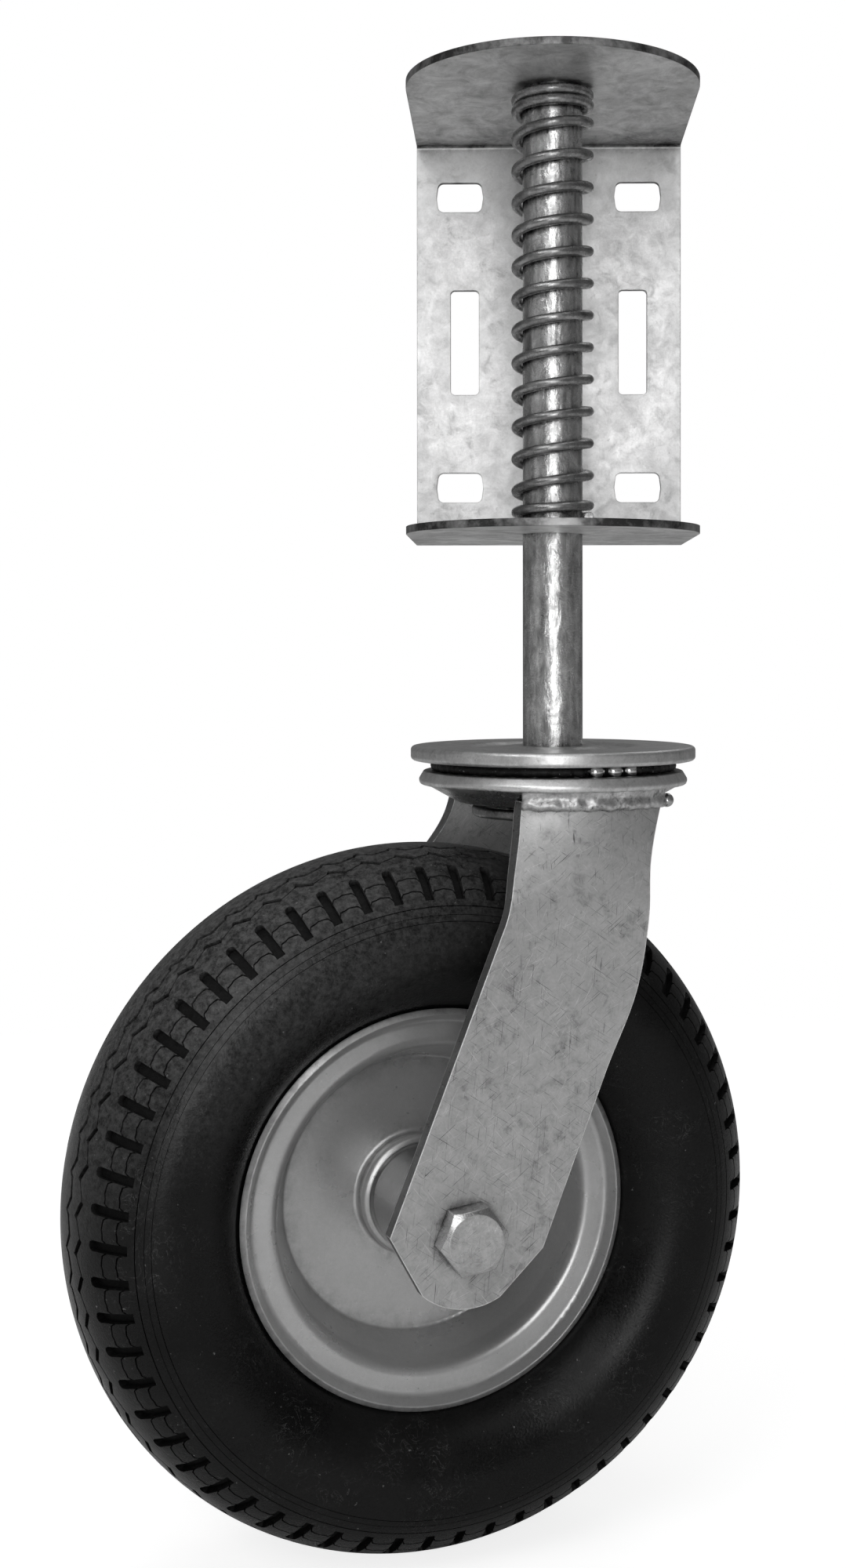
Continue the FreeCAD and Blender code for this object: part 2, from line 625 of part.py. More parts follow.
def leg_outline():
    """The leg seen along the axle: curved edges by the crown, a straight leaning strap, a cut end."""
    trailing_bend = FreeCAD.Vector(LEG_TRAILING_CURVE[-1][0], 0, LEG_TRAILING_CURVE[-1][1])
    trailing_corner = FreeCAD.Vector(LEG_TRAILING_CORNER[0], 0, LEG_TRAILING_CORNER[1])
    leading_corner = FreeCAD.Vector(LEG_LEADING_CORNER[0], 0, LEG_LEADING_CORNER[1])
    leading_bend = FreeCAD.Vector(LEG_LEADING_CURVE[0][0], 0, LEG_LEADING_CURVE[0][1])
    trailing_top = FreeCAD.Vector(LEG_TRAILING_CURVE[0][0], 0, LEG_TOP)
    leading_top = FreeCAD.Vector(LEG_LEADING_CURVE[-1][0], 0, LEG_TOP)
    axle = FreeCAD.Vector(-TRAIL, 0, -AXLE_DROP)
    end_points = []
    for angle in LEG_END_ANGLES:
        turn = math.radians(angle)
        end_points.append(axle + FreeCAD.Vector(math.cos(turn), 0, math.sin(turn)) * LEG_END_RADIUS)
    down_strap = (trailing_corner - trailing_bend).normalize()
    up_strap = (leading_bend - leading_corner).normalize()
    trailing_start = FreeCAD.Vector(LEG_TRAILING_START[0], 0, LEG_TRAILING_START[1])
    leading_finish = FreeCAD.Vector(LEG_LEADING_FINISH[0], 0, LEG_LEADING_FINISH[1])
    edges = [
        curve_through(LEG_TRAILING_CURVE, trailing_start, down_strap),
        Part.LineSegment(trailing_bend, trailing_corner).toShape(),
        Part.LineSegment(trailing_corner, end_points[0]).toShape(),
        Part.Arc(end_points[0], end_points[1], end_points[2]).toShape(),
        Part.LineSegment(end_points[2], leading_corner).toShape(),
        Part.LineSegment(leading_corner, leading_bend).toShape(),
        curve_through(LEG_LEADING_CURVE, up_strap, leading_finish),
        Part.LineSegment(leading_top, trailing_top).toShape(),
    ]
    return Part.Wire(edges)


def near_leg():
    """A strap whose upper part is bent round the crown and whose lower part is flat."""
    levels = [LEG_TOP + 1.0]
    for i in range(1, LEG_SECTIONS + 1):
        levels.append(LEG_TOP + (LEG_FLAT_TOP - LEG_TOP) * i / LEG_SECTIONS)
    levels.append(LEG_FLAT_TOP - LEG_FLAT_OVERLAP / 2)
    levels.append(LEG_FLAT_TOP - LEG_FLAT_OVERLAP)
    upper = Part.makeLoft([leg_sheet_section(z) for z in levels], True, False)
    top = levels[-1]
    bottom = -AXLE_DROP - LEG_END_RADIUS - CUT_MARGIN
    reach = 2 * TRAIL
    lower = Part.makeBox(2 * reach, LEG_THICKNESS, top - bottom, FreeCAD.Vector(-reach, -LEG_FLAT, bottom))
    profile = Part.Face(leg_outline())
    profile.translate(FreeCAD.Vector(0, -LEG_FLAT - CUT_MARGIN, 0))
    strap = upper.fuse(lower).common(profile.extrude(FreeCAD.Vector(0, LEG_FLAT, 0)))
    hole = Part.makeCylinder(
        AXLE_RADIUS + AXLE_HOLE_CLEARANCE,
        LEG_FLAT,
        FreeCAD.Vector(-TRAIL, -LEG_FLAT - CUT_MARGIN, -AXLE_DROP),
        Y_AXIS,
    )
    return strap.cut(hole).removeSplitter()


def near_leg_weld():
    """The bead along the leg's top edge, under the crown's lip."""
    face = Part.Face(outline(WELD_SECTION))
    bead = face.revolve(ORIGIN, Z_AXIS, 2 * LEG_WRAP_ANGLE)
    bead.rotate(ORIGIN, Z_AXIS, -90 - LEG_WRAP_ANGLE)
    return bead


def mirrored_leg_side(shape):
    return shape.mirror(ORIGIN, Y_AXIS)


def axle_bolt():
    head = chamfered_hexagon(
        HEX_M12, BOLT_HEAD_FACE_RADIUS, LEG_FLAT, LEG_FLAT + BOLT_HEAD_HEIGHT, HEX_TURN, False
    )
    end = LEG_FLAT - BOLT_LENGTH
    shank = turned([
        (0, LEG_FLAT, 0),
        (AXLE_RADIUS, LEG_FLAT, 0),
        (AXLE_RADIUS, end + STEM_CHAMFER, 0),
        (AXLE_RADIUS - STEM_CHAMFER, end, 0),
        (0, end, 0),
    ])
    return on_axle(head.fuse(shank))


def axle_washer():
    bore = AXLE_RADIUS + AXLE_HOLE_CLEARANCE
    return on_axle(ring(FLAT_WASHER_RADIUS, bore, -LEG_FLAT - FLAT_WASHER_THICKNESS, -LEG_FLAT))


def axle_nut():
    high = -LEG_FLAT - FLAT_WASHER_THICKNESS
    low = high - NUT_HEIGHT
    nut = chamfered_hexagon(HEX_M12, HEX_M12 / 2 - 0.3, low, high, 20.0, True)
    bore = Part.makeCylinder(AXLE_RADIUS, NUT_HEIGHT, FreeCAD.Vector(0, 0, low))
    return on_axle(nut.cut(bore))


def axle_spacers():
    inner = AXLE_RADIUS + STEM_HOLE_CLEARANCE
    near = ring(inner + SPACER_WALL, inner, HUB_HALF_LENGTH, LEG_INNER)
    return on_axle(group([near, far_side(near)]))


def bearing_sleeve():
    half = HUB_HALF_LENGTH - BEARING_WIDTH
    inner = AXLE_RADIUS + 2 * STEM_HOLE_CLEARANCE
    return on_axle(ring(inner + SLEEVE_WALL, inner, -half, half))


def both_bearings(near):
    return on_axle(group([near, far_side(near)]))


def bearing_groove():
    return ball_groove(BEARING_BALL_RADIUS, BEARING_BALL_PITCH_RADIUS, BEARING_CENTRE)


def bearing_inner_rings():
    low = HUB_HALF_LENGTH - BEARING_WIDTH
    race = ring(BEARING_INNER_RADIUS, AXLE_RADIUS + 0.02, low, HUB_HALF_LENGTH)
    return both_bearings(race.cut(bearing_groove()))


# ---- wheel bearing balls, which roll at their own speed

def wheel_balls():
    near = group(ball_ring(
        BEARING_BALL_COUNT, BEARING_BALL_RADIUS, BEARING_BALL_PITCH_RADIUS, BEARING_CENTRE
    ))
    return both_bearings(near)


def bearing_cages():
    """A ring with a round pocket for each ball."""
    cage = ring(
        BEARING_BALL_PITCH_RADIUS + CAGE_HALF_WALL,
        BEARING_BALL_PITCH_RADIUS - CAGE_HALF_WALL,
        BEARING_CENTRE - CAGE_HALF_WIDTH,
        BEARING_CENTRE + CAGE_HALF_WIDTH,
    )
    pocket_radius = BEARING_BALL_RADIUS + CAGE_POCKET_CLEARANCE
    centre = FreeCAD.Vector(0, 0, BEARING_CENTRE)
    for i in range(BEARING_BALL_COUNT):
        pocket = Part.makeCylinder(pocket_radius, BEARING_RADIUS, centre, X_AXIS)
        pocket.rotate(ORIGIN, Z_AXIS, 360 * i / BEARING_BALL_COUNT)
        cage = cage.cut(pocket)
    return both_bearings(cage)


# ---- wheel body, in the wheel's own frame

def bearing_outer_rings():
    low = HUB_HALF_LENGTH - BEARING_WIDTH
    race = ring(BEARING_RADIUS, BEARING_OUTER_INNER_RADIUS, low, HUB_HALF_LENGTH)
    return both_bearings(race.cut(bearing_groove()))


def bearing_seals():
    """A thin seal at each face of each bearing, held by the outer ring."""
    outer_face = HUB_HALF_LENGTH - SEAL_INSET
    inner_face = HUB_HALF_LENGTH - BEARING_WIDTH + SEAL_INSET + SEAL_THICKNESS
    seals = []
    for high in (inner_face, outer_face):
        seals.append(ring(
            BEARING_OUTER_INNER_RADIUS, BEARING_INNER_RADIUS + SEAL_GAP, high - SEAL_THICKNESS, high
        ))
    return both_bearings(group(seals))


def hub_tube():
    return on_axle(ring(HUB_RADIUS, BEARING_RADIUS, -HUB_HALF_LENGTH, HUB_HALF_LENGTH))


def hub_welds():
    """The bead at the end of each rim half's neck, round the hub tube."""
    corners = [(HUB_RADIUS, RIM_NECK_END, 0)]
    for above, along, fillet in HUB_WELD:
        corners.append((HUB_RADIUS + above, RIM_NECK_END + along, fillet))
    near = turned(corners)
    return on_axle(group([near, far_side(near)]))


def rim_half():
    """One pressed half: neck, flat disc, drum wall, bead seat and curled flange."""
    middle = RIM_SHEET / 2
    disc_radius, disc_bend = RIM_DISC
    path = [
        (HUB_RADIUS + middle, RIM_NECK_END, 0),
        (HUB_RADIUS + middle, middle, RIM_NECK_BEND),
        (disc_radius, middle, disc_bend),
    ]
    path.extend(RIM_OUTER_PATH)
    return turned(sheet_corners(path, RIM_SHEET))


def rim_half_near():
    return on_axle(rim_half())


def on_valve(shape):
    """From a frame along the valve, whose origin is on the inner tube, to the wheel's own frame."""
    placed = shape.copy()
    placed.rotate(ORIGIN, Y_AXIS, 180 + VALVE_LEAN)
    placed.translate(FreeCAD.Vector(VALVE_SEAT[0], 0, -VALVE_SEAT[1]))
    placed.rotate(ORIGIN, Z_AXIS, VALVE_TURN)
    return placed


def rim_half_far():
    hole = Part.makeCylinder(VALVE_RADIUS + VALVE_HOLE_CLEARANCE, VALVE_LENGTH + CUT_MARGIN)
    return on_axle(far_side(rim_half()).cut(on_valve(hole)))


def valve_stem():
    stem = turned([
        (0, 0, 0),
        (VALVE_RADIUS, 0, 0),
        (VALVE_RADIUS, VALVE_RUBBER_LENGTH, 1.0),
        (VALVE_METAL_RADIUS, VALVE_RUBBER_LENGTH + 2.0, 0),
        (VALVE_METAL_RADIUS, VALVE_LENGTH, 0),
        (0, VALVE_LENGTH, 0),
    ])
    return on_axle(on_valve(stem))


def valve_cap():
    low, high = VALVE_LENGTH - VALVE_CAP_ENDS[0], VALVE_LENGTH + VALVE_CAP_ENDS[1]
    cap = turned([
        (0, high, 0),
        (VALVE_CAP_RADIUS[0], high, 1.2),
        (VALVE_CAP_RADIUS[1], low, 0),
        (VALVE_METAL_RADIUS, low, 0),
        (VALVE_METAL_RADIUS, VALVE_LENGTH, 0),
        (0, VALVE_LENGTH, 0),
    ])
    return on_axle(on_valve(cap))


def ellipse_ring(half_height, half_width):
    """A ring of elliptical section round the wheel, for the space inside the tyre."""
    points = []
    count = 24
    for i in range(count):
        angle = 2 * math.pi * i / count
        points.append(FreeCAD.Vector(
            TUBE_CENTRE_RADIUS + half_height * math.cos(angle), 0, half_width * math.sin(angle)
        ))
    curve = Part.BSplineCurve()
    curve.interpolate(points, PeriodicFlag=True)
    return Part.Face(Part.Wire(curve.toShape())).revolve(ORIGIN, Z_AXIS, 360)


def tyre_half_width(radius):
    reach = abs(radius - TYRE_CENTRE_RADIUS) / TYRE_SECTION_HALF_HEIGHT
    return TYRE_WIDTH / 2 * (1 - reach ** TYRE_POWER) ** (1 / TYRE_POWER)


def tyre():
    """Carcass with its beads on the rim, hollow for the inner tube."""
    sidewall = []
    start_angle = math.radians(BEAD_START_ANGLE)
    for i in range(SIDEWALL_STEPS + 1):
        angle = -start_angle + (math.pi / 2 + start_angle) * i / SIDEWALL_STEPS
        radius = TYRE_CENTRE_RADIUS + TYRE_SECTION_HALF_HEIGHT * math.sin(angle)
        width = tyre_half_width(radius) if i < SIDEWALL_STEPS else 0.0
        sidewall.append(FreeCAD.Vector(radius, 0, width))
    near = Part.BSplineCurve()
    near.interpolate(sidewall)
    far = near.toShape().mirror(ORIGIN, Z_AXIS)
    bead = [(sidewall[0].x, sidewall[0].z)]
    bead.extend(BEAD_OUTLINE)
    points = [FreeCAD.Vector(radius, 0, width) for radius, width in bead]
    points += [FreeCAD.Vector(radius, 0, -width) for radius, width in bead[::-1]]
    edges = [near.toShape(), far]
    for first, second in zip(points, points[1:]):
        edges.append(Part.LineSegment(first, second).toShape())
    section = Part.Face(Part.Wire(Part.__sortEdges__(edges)))
    body = section.revolve(ORIGIN, Z_AXIS, 360)
    cavity = ellipse_ring(TUBE_HALF_HEIGHT, TUBE_HALF_WIDTH)
    between_beads = ring(
        TUBE_CENTRE_RADIUS, BEAD_OPENING_RADIUS, -BEAD_OPENING_HALF_WIDTH, BEAD_OPENING_HALF_WIDTH
    )
    return on_axle(body.cut(cavity.fuse(between_beads)))


def inner_tube():
    outer = ellipse_ring(TUBE_HALF_HEIGHT - TUBE_GAP, TUBE_HALF_WIDTH - TUBE_GAP)
    inner = ellipse_ring(TUBE_HALF_HEIGHT - TUBE_GAP - TUBE_WALL, TUBE_HALF_WIDTH - TUBE_GAP - TUBE_WALL)
    neck = Part.makeCylinder(VALVE_RADIUS, VALVE_LENGTH, FreeCAD.Vector(0, 0, -VALVE_LENGTH / 2))
    return on_axle(outer.cut(inner).cut(on_valve(neck)))


NODES = {
    "bracket": bracket,
    "compression_spring": compression_spring,
    "stem_rod": stem_rod,
    "retaining_ring": retaining_ring,
    "swivel_top_plate": swivel_top_plate,
    "stem_weld": stem_weld,
    "lower_race": lower_race,
    "kingpin_nut": kingpin_nut,
    "upper_balls": upper_balls,
    "lower_balls": lower_balls,
    "fork_crown": fork_crown,
    "grease_nipple": grease_nipple,
    "fork_leg_near": lambda: on_fork(near_leg()),
    "fork_leg_far": lambda: on_fork(mirrored_leg_side(near_leg())),
    "leg_weld_near": lambda: on_fork(near_leg_weld()),
    "leg_weld_far": lambda: on_fork(mirrored_leg_side(near_leg_weld())),
    "axle_bolt": axle_bolt,
    "axle_washer": axle_washer,
    "axle_nut": axle_nut,
    "axle_spacers": axle_spacers,
    "bearing_sleeve": bearing_sleeve,
    "bearing_inner_rings": bearing_inner_rings,
    "wheel_balls": wheel_balls,
    "bearing_cages": bearing_cages,
    "bearing_outer_rings": bearing_outer_rings,
    "bearing_seals": bearing_seals,
    "hub_tube": hub_tube,
    "hub_welds": hub_welds,
    "rim_half_near": rim_half_near,
    "rim_half_far": rim_half_far,
    "tyre": tyre,
    "inner_tube": inner_tube,
    "valve_stem": valve_stem,
    "valve_cap": valve_cap,
}

os.makedirs("parts", exist_ok=True)
for name, build in NODES.items():
    shape = build()
    print(name, "valid" if shape.isValid() else "INVALID", len(shape.Solids), round(shape.Volume, 1))
    shape.exportStep(f"parts/{name}.step")
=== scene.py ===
import json
import math

import bmesh
import bpy
from mathutils import Matrix, Vector, geometry, noise


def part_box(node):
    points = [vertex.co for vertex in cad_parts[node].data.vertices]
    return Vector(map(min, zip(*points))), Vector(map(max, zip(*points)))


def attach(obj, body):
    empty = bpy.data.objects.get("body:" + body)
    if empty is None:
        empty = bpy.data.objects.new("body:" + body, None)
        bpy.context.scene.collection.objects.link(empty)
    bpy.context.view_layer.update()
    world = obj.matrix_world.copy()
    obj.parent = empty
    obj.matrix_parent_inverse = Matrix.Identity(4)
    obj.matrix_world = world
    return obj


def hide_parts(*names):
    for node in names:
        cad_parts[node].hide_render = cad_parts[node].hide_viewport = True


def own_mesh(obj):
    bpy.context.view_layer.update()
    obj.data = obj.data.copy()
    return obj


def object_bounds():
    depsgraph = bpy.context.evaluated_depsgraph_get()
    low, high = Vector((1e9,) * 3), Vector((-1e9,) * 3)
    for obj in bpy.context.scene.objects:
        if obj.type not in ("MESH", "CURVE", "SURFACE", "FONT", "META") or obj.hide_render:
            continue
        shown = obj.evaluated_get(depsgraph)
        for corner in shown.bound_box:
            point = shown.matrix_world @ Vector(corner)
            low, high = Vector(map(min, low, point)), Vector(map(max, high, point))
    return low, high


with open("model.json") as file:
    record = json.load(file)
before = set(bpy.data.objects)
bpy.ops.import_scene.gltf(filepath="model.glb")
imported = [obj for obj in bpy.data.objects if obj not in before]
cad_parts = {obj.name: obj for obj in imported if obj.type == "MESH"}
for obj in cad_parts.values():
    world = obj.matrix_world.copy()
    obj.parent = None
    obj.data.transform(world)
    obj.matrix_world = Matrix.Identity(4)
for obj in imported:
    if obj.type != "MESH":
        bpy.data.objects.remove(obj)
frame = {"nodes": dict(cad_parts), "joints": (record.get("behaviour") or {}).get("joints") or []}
cad_low, cad_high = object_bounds()
nodes = frame["nodes"]
joints = {joint["name"]: joint for joint in frame["joints"]}

MM = 0.001

# ---- photographed view, level with the bare stem between the bracket and the swivel
CAMERA_PLACE = Vector((-0.01288, -0.7152, -0.1118))
CAMERA_RIGHT = Vector((0.999808, 0.0195805, -0.000726))
CAMERA_UP = Vector((0.000602, 0.0063386, 0.99998))
CAMERA_LENS = 43.92             # mm
CAMERA_SENSOR = 36.0            # mm
CAMERA_SHIFT = (-0.03425, -0.08215)

# ---- light: what the room and the floor give back, and the lamps
ROOM_LEVEL = 0.13
FLOOR_GLOW = 0.8
FLOOR_BOUNCE = 0.95
FLOOR_SIZE = 6.0                # half its side, in metres
FLOOR_GAP = 0.0005              # how far it lies under the wheel
FLOOR_CUTS = 8
WHITE_FROM, WHITE_TO = 0.45, 0.9    # distances from the origin where the floor fades to white
AIM = (0, -0.07, -0.2)
SOFTBOXES = (                   # name, place, aim, width, height, power in watts
    ("front_box", (0.05, -1.9, 0.1), (0, -0.07, -0.1), 0.6, 1.5, 11.0),
    ("right_box", (1.5, -1.7, 0.2), AIM, 1.0, 1.6, 0.5),
    ("back_box", (0.7, 1.3, 1.5), AIM, 1.2, 0.8, 4.0),
    ("high_box", (-0.7, -1.4, 0.9), AIM, 0.9, 0.5, 5.5),
    ("top_box", (-0.2, -0.6, 1.7), AIM, 2.4, 2.0, 12.0),
    ("left_box", (-1.8, -0.9, 0.3), AIM, 1.1, 1.5, 1.3),
)

# ---- places on the metal parts that the looks need
AXLE = Vector(joints["wheel_spin"]["axis"])
FORK_TURN = math.degrees(math.atan2(AXLE.x, -AXLE.y))  # how far the fork is swivelled at rest
CROWN_WAIST = joints["swivel"]["pos_m"][2] - 0.0128    # the crown is oily under this height
FLANGE_LEVEL = 0.0725           # 0.5 mm short of the flanges' inner faces, above and below

# ---- tyre section, just inside the CAD tyre's, in mm
TYRE_RADIUS = 113.25
TYRE_HALF_WIDTH = 36.5
SECTION_HALF_HEIGHT = 27.8
SECTION_POWER = 2.04
SECTION_CENTRE = TYRE_RADIUS - SECTION_HALF_HEIGHT
SIDE_STEP = 1.3                 # degrees of section between rows of the sidewall
BEAD_START = -47.0              # section angle where the sidewall meets the bead
MOUTH = 14.0                    # half width of the opening between the beads
BEAD = ((62.2, 19.75), (60.6, 18.3), (53.0, 18.3), (53.0, MOUTH))    # radius and half width
CAVITY = (81.3, 24.5, 31.2)     # the tube's space: centre radius, half height and half width
CAVITY_STEPS = 48

# ---- tread: one pitch holds a shoulder slot, a block with two sipes, and a wave of two grooves
PITCHES = 62
TREAD_COLUMNS = 6               # regular columns of points in one pitch
TREAD_ROWS = 22                 # regular rows from the sidewall to the crown
TREAD_START = 26.2              # section angles, in degrees: 0 at the sidewall, 90 at the crown
MEAN_RADIUS = 0.95              # share of the radius at which a pitch is laid out
DEGREE_ARC = SECTION_HALF_HEIGHT * 1.15 * math.pi / 180    # mm for one degree of section
SLOT_SPAN = (28.6, 54.5)
SLOT_HALF_WIDTH = 1.62
SLOT_DEPTH = 2.3
SIPES = ((32.2, 35.8), (42.2, 45.6))    # section angles where each sipe starts and ends
SIPE_DEPTH = 1.0
SIPE_WIDTH = 0.5
INNER_WAVE_WIDTHS = (0.45, 0.5, 1.7, 1.7, 0.45)
OUTER_WAVE_WIDTHS = (1.2, 1.2, 1.4, 1.4, 1.2)
WAVE_DEPTH = 1.6
INNER_WAVE_SHARE = 0.8          # the inner wave is this much as deep as the outer one
SIDE_LINES = (24.2, 18.4, 14.4)  # concentric lines under the shoulder
LINE_GROOVE = (                 # degrees of section from the line, and depth
    (0.6, 0.0), (0.32, 0.0), (0.14, 1.0), (-0.14, 1.0), (-0.32, 0.0), (-0.6, 0.0),
)
PAINTED_SHEEN_WAY = (-0.6, 0.1, 0.8)    # the side of the tyre that gets a painted sheen
PAINTED_SHEEN = 0.055                    # how much paler the painted sheen makes it there

# ---- spring, in mm and turns
WIRE_RADIUS = 1.7
COIL_TURNS = 15
LOW_CLOSED_TURNS = 1.0          # the other closed turns are at the top
OPEN_TURNS = 12.33
CLOSED_PITCH = 3.5
PITCH_EASE = (-0.25, -0.125, 0.0, 0.125, 0.25)    # turns over which the pitch changes
WIRE_STEPS = 40                 # rings of points in one turn
WIRE_SIDES = 14

# ---- leg welds, in mm: radius from the swivel's axis and height from its pivot
WELD_HALF_SPAN = math.radians(36.0)
WELD_FRONT = (
    (44.0, -12.3), (43.4, -13.0), (42.9, -14.2), (42.9, -15.4),
    (43.6, -16.2), (43.7, -17.4), (42.7, -18.5),
)
WELD_BACK = ((41.6, -18.8), (40.6, -17.0), (39.6, -15.0), (40.4, -13.2))
WELD_LUMPS = ((0.5, 0.6), (1.6, 0.22))    # fineness and height of each size of lump
WELD_RIDGE = (4, 5)             # the points of the front that stand out as a ridge
WELD_TAPER = 0.35               # how much the ridge loses along the bead
WELD_SAG = 0.8
WELD_SAG_FROM = 3               # the first point of the front that sags
WELD_SINK = 0.7                 # how far the front lies back before the lumps stand out
WELD_REACH = 44.3               # no point is further out than this
WELD_ROWS = 190
BLOB_PLACE, BLOB_WIDTH = -0.72, 0.16    # the blob that ends the ridge, in shares of the half span
BLOB_HEIGHT = 0.9

# ---- grease round the upper balls, in mm: radius from the swivel's axis and height from its pivot
GREASE_INNER, GREASE_OUTER = 34.0, 40.9
GREASE_TOP, GREASE_LOW = -4.75, -8.15
GREASE_BARE = (math.radians(-90 + 14), math.radians(-90 + 42))    # where the balls show
GREASE_BARE_DEPTH = 2.3
GREASE_LUMPS = ((7, 1.1), (23, 0.7))      # fineness and height of each size of lump
GREASE_BULGE = 0.55             # how far the lumps stand out
GREASE_ROWS = 361
GREASE_SIDES = 14
GREASE_SQUARENESS = 0.6         # 1 makes the section an ellipse, less makes it squarer


# ---------------------------------------------------------------- shader helpers

class Look:
    """One material and its nodes."""

    def __init__(self, name, turn=0.0, rounding=0.0005):
        self.material = bpy.data.materials.new(name)
        self.material.use_nodes = True
        self.tree = self.material.node_tree
        self.tree.nodes.clear()
        self.output = self.tree.nodes.new("ShaderNodeOutputMaterial")
        self.surface = self.tree.nodes.new("ShaderNodeBsdfPrincipled")
        self.tree.links.new(self.surface.outputs["BSDF"], self.output.inputs["Surface"])
        self.place = self.tree.nodes.new("ShaderNodeTexCoord").outputs["Object"]
        if turn:
            rotation = (0, 0, math.radians(-turn))
            turned = self.node("Mapping", {"Vector": self.place, "Rotation": rotation})
            self.place = turned.outputs[0]
        self.rounding = rounding
        self.heights = []

    def node(self, kind, values, **settings):
        made = self.tree.nodes.new("ShaderNode" + kind)
        for name, value in settings.items():
            setattr(made, name, value)
        for socket, value in values.items():
            self.put(made.inputs[socket], value)
        return made

    def put(self, socket, value):
        if isinstance(value, bpy.types.NodeSocket):
            self.tree.links.new(value, socket)
        else:
            socket.default_value = value

    def stretched(self, scale, turn=(0, 0, 0)):
        """Object coordinates, turned and then scaled along each axis."""
        rotation = [math.radians(angle) for angle in turn]
        turned = self.node("Mapping", {"Vector": self.place, "Rotation": rotation})
        return self.node("Mapping", {"Vector": turned.outputs[0], "Scale": scale}).outputs[0]

    def noise(self, scale, detail=4.0, roughness=0.55, distortion=0.0, place=None):
        values = {"Vector": place or self.place, "Scale": scale, "Detail": detail}
        values.update({"Roughness": roughness, "Distortion": distortion})
        return self.node("TexNoise", values).outputs[0]

    def normal(self):
        """The surface's own direction, which turns with the object."""
        return self.node("TexCoord", {}).outputs["Normal"]

    def remap(self, value, low, high, to_low, to_high):
        values = {"Value": value, "From Min": low, "From Max": high}
        values.update({"To Min": to_low, "To Max": to_high})
        return self.node("MapRange", values, clamp=True).outputs[0]

    def math(self, operation, first, second):
        return self.node("Math", {0: first, 1: second}, operation=operation).outputs[0]

    def add(self, first, second):
        return self.math("ADD", first, second)

    def times(self, first, second):
        return self.math("MULTIPLY", first, second)

    def height(self, value, amount):
        """Adds to the bump, in metres."""
        self.heights.append(self.times(value, amount))

    def finish(self, tone, roughness, **plain):
        self.put(self.surface.inputs["Base Color"], tone)
        self.put(self.surface.inputs["Roughness"], roughness)
        for name, value in plain.items():
            self.surface.inputs[name.replace("_", " ")].default_value = value
        if self.heights:
            total = self.heights[0]
            for more in self.heights[1:]:
                total = self.add(total, more)
            bump = self.node("Bump", {"Height": total, "Strength": 1.0, "Distance": 1.0})
            if self.rounding:
                rounded = self.node("Bevel", {"Radius": self.rounding}, samples=4)
                self.put(bump.inputs["Normal"], rounded.outputs[0])
            self.put(self.surface.inputs["Normal"], bump.outputs[0])
        return self.material


def direction_match(look, first, second):
    return look.node("VectorMath", {0: first, 1: second}, operation="DOT_PRODUCT").outputs["Value"]


def part_of(look, vector, axis):
    return look.node("SeparateXYZ", {0: vector}).outputs[axis]


def edge_wear_and_highlight(look, radius, amount):
    """How much a point lies on a sharp edge, from 0 to amount. Added to a tone it stands for wear,
    and on the legs for a painted highlight along the arrises.
    """
    rounded = look.node("Bevel", {"Radius": radius}, samples=4)
    plain = look.node("NewGeometry", {})
    facing = direction_match(look, rounded.outputs[0], plain.outputs["Normal"])
    return look.remap(facing, 0.985, 0.85, 0.0, amount)


def painted_corner_shade(look, reach, amount):
    """How much painted shade falls where surfaces meet, from ambient occlusion made uneven by
    noise, from 0 to amount.
    """
    open_sky = look.node("AmbientOcclusion", {"Distance": reach}, samples=6)
    uneven = look.remap(look.noise(260.0, 4.0, 0.7), 0.3, 0.7, -0.12, 0.12)
    return look.remap(look.add(open_sky.outputs["AO"], uneven), 0.72, 0.42, 0.0, amount)


def veins(look, scale, width):
    """Thin wandering lines, where a cloudy noise crosses its middle value."""
    cloud = look.noise(scale, 5.0, 0.6, 1.2)
    away = look.math("ABSOLUTE", look.math("SUBTRACT", cloud, 0.5), 0.0)
    return look.remap(away, width, 0.0, 0.0, 1.0)


def hairlines(look, angles, length, thickness, level):
    """Short straight scratches in several directions across the look's own XZ plane."""
    total = None
    for i, angle in enumerate(angles):
        scale = (1 / length, 300.0 + 40 * i, 1 / thickness)
        field = look.noise(1.0, 2.0, 0.4, 0.0, look.stretched(scale, (0, angle, 0)))
        lines = look.remap(field, level, level + 0.035, 0.0, 1.0)
        total = lines if total is None else look.math("MAXIMUM", total, lines)
    return total


def oiled(look, tone, gloss, oily_below):
    """Darker and shinier under a wavering height."""
    level = part_of(look, look.place, "Z")
    uneven = look.add(level, look.remap(look.noise(120.0, 3.0), 0.3, 0.7, -0.0012, 0.0012))
    oil = look.remap(uneven, oily_below + 0.0008, oily_below - 0.0008, 0.0, 1.0)
    tone = look.times(tone, look.remap(oil, 0.0, 1.0, 1.0, 0.65))
    return tone, look.times(gloss, look.remap(oil, 0.0, 1.0, 1.0, 0.7))


def cut_sheet(look, tone, edges_from):
    """A bent sheet's flanges: bare streaked edges, spots, and shade by the bend on inner faces."""
    level = part_of(look, look.place, "Z")
    facing = part_of(look, look.normal(), "Z")
    away = look.math("ABSOLUTE", level, 0.0)
    beyond = look.remap(away, edges_from, edges_from + 0.0002, 0.0, 1.0)
    level_face = look.remap(look.math("ABSOLUTE", facing, 0.0), 0.3, 0.6, 0.0, 1.0)
    bare = look.times(beyond, look.math("SUBTRACT", 1.0, level_face))
    streaked = look.remap(look.noise(60.0, 5.0, 0.7), 0.42, 0.6, 0.9, 0.4)
    tone = look.math("SUBTRACT", tone, look.times(look.times(tone, bare), streaked))
    spots = look.noise(1.0, 8.0, 0.72, 0.6, look.stretched((85, 62, 85)))
    spotty = look.remap(spots, 0.36, 0.64, -0.16, 0.2)
    root = look.remap(part_of(look, look.place, "Y"), -0.03, -0.004, 0.0, 0.38)
    inner = look.remap(look.times(level, facing), 0.0, -0.03, 0.0, 1.0)
    shaded = look.math("SUBTRACT", spotty, look.times(root, inner))
    return look.add(tone, look.times(level_face, shaded))


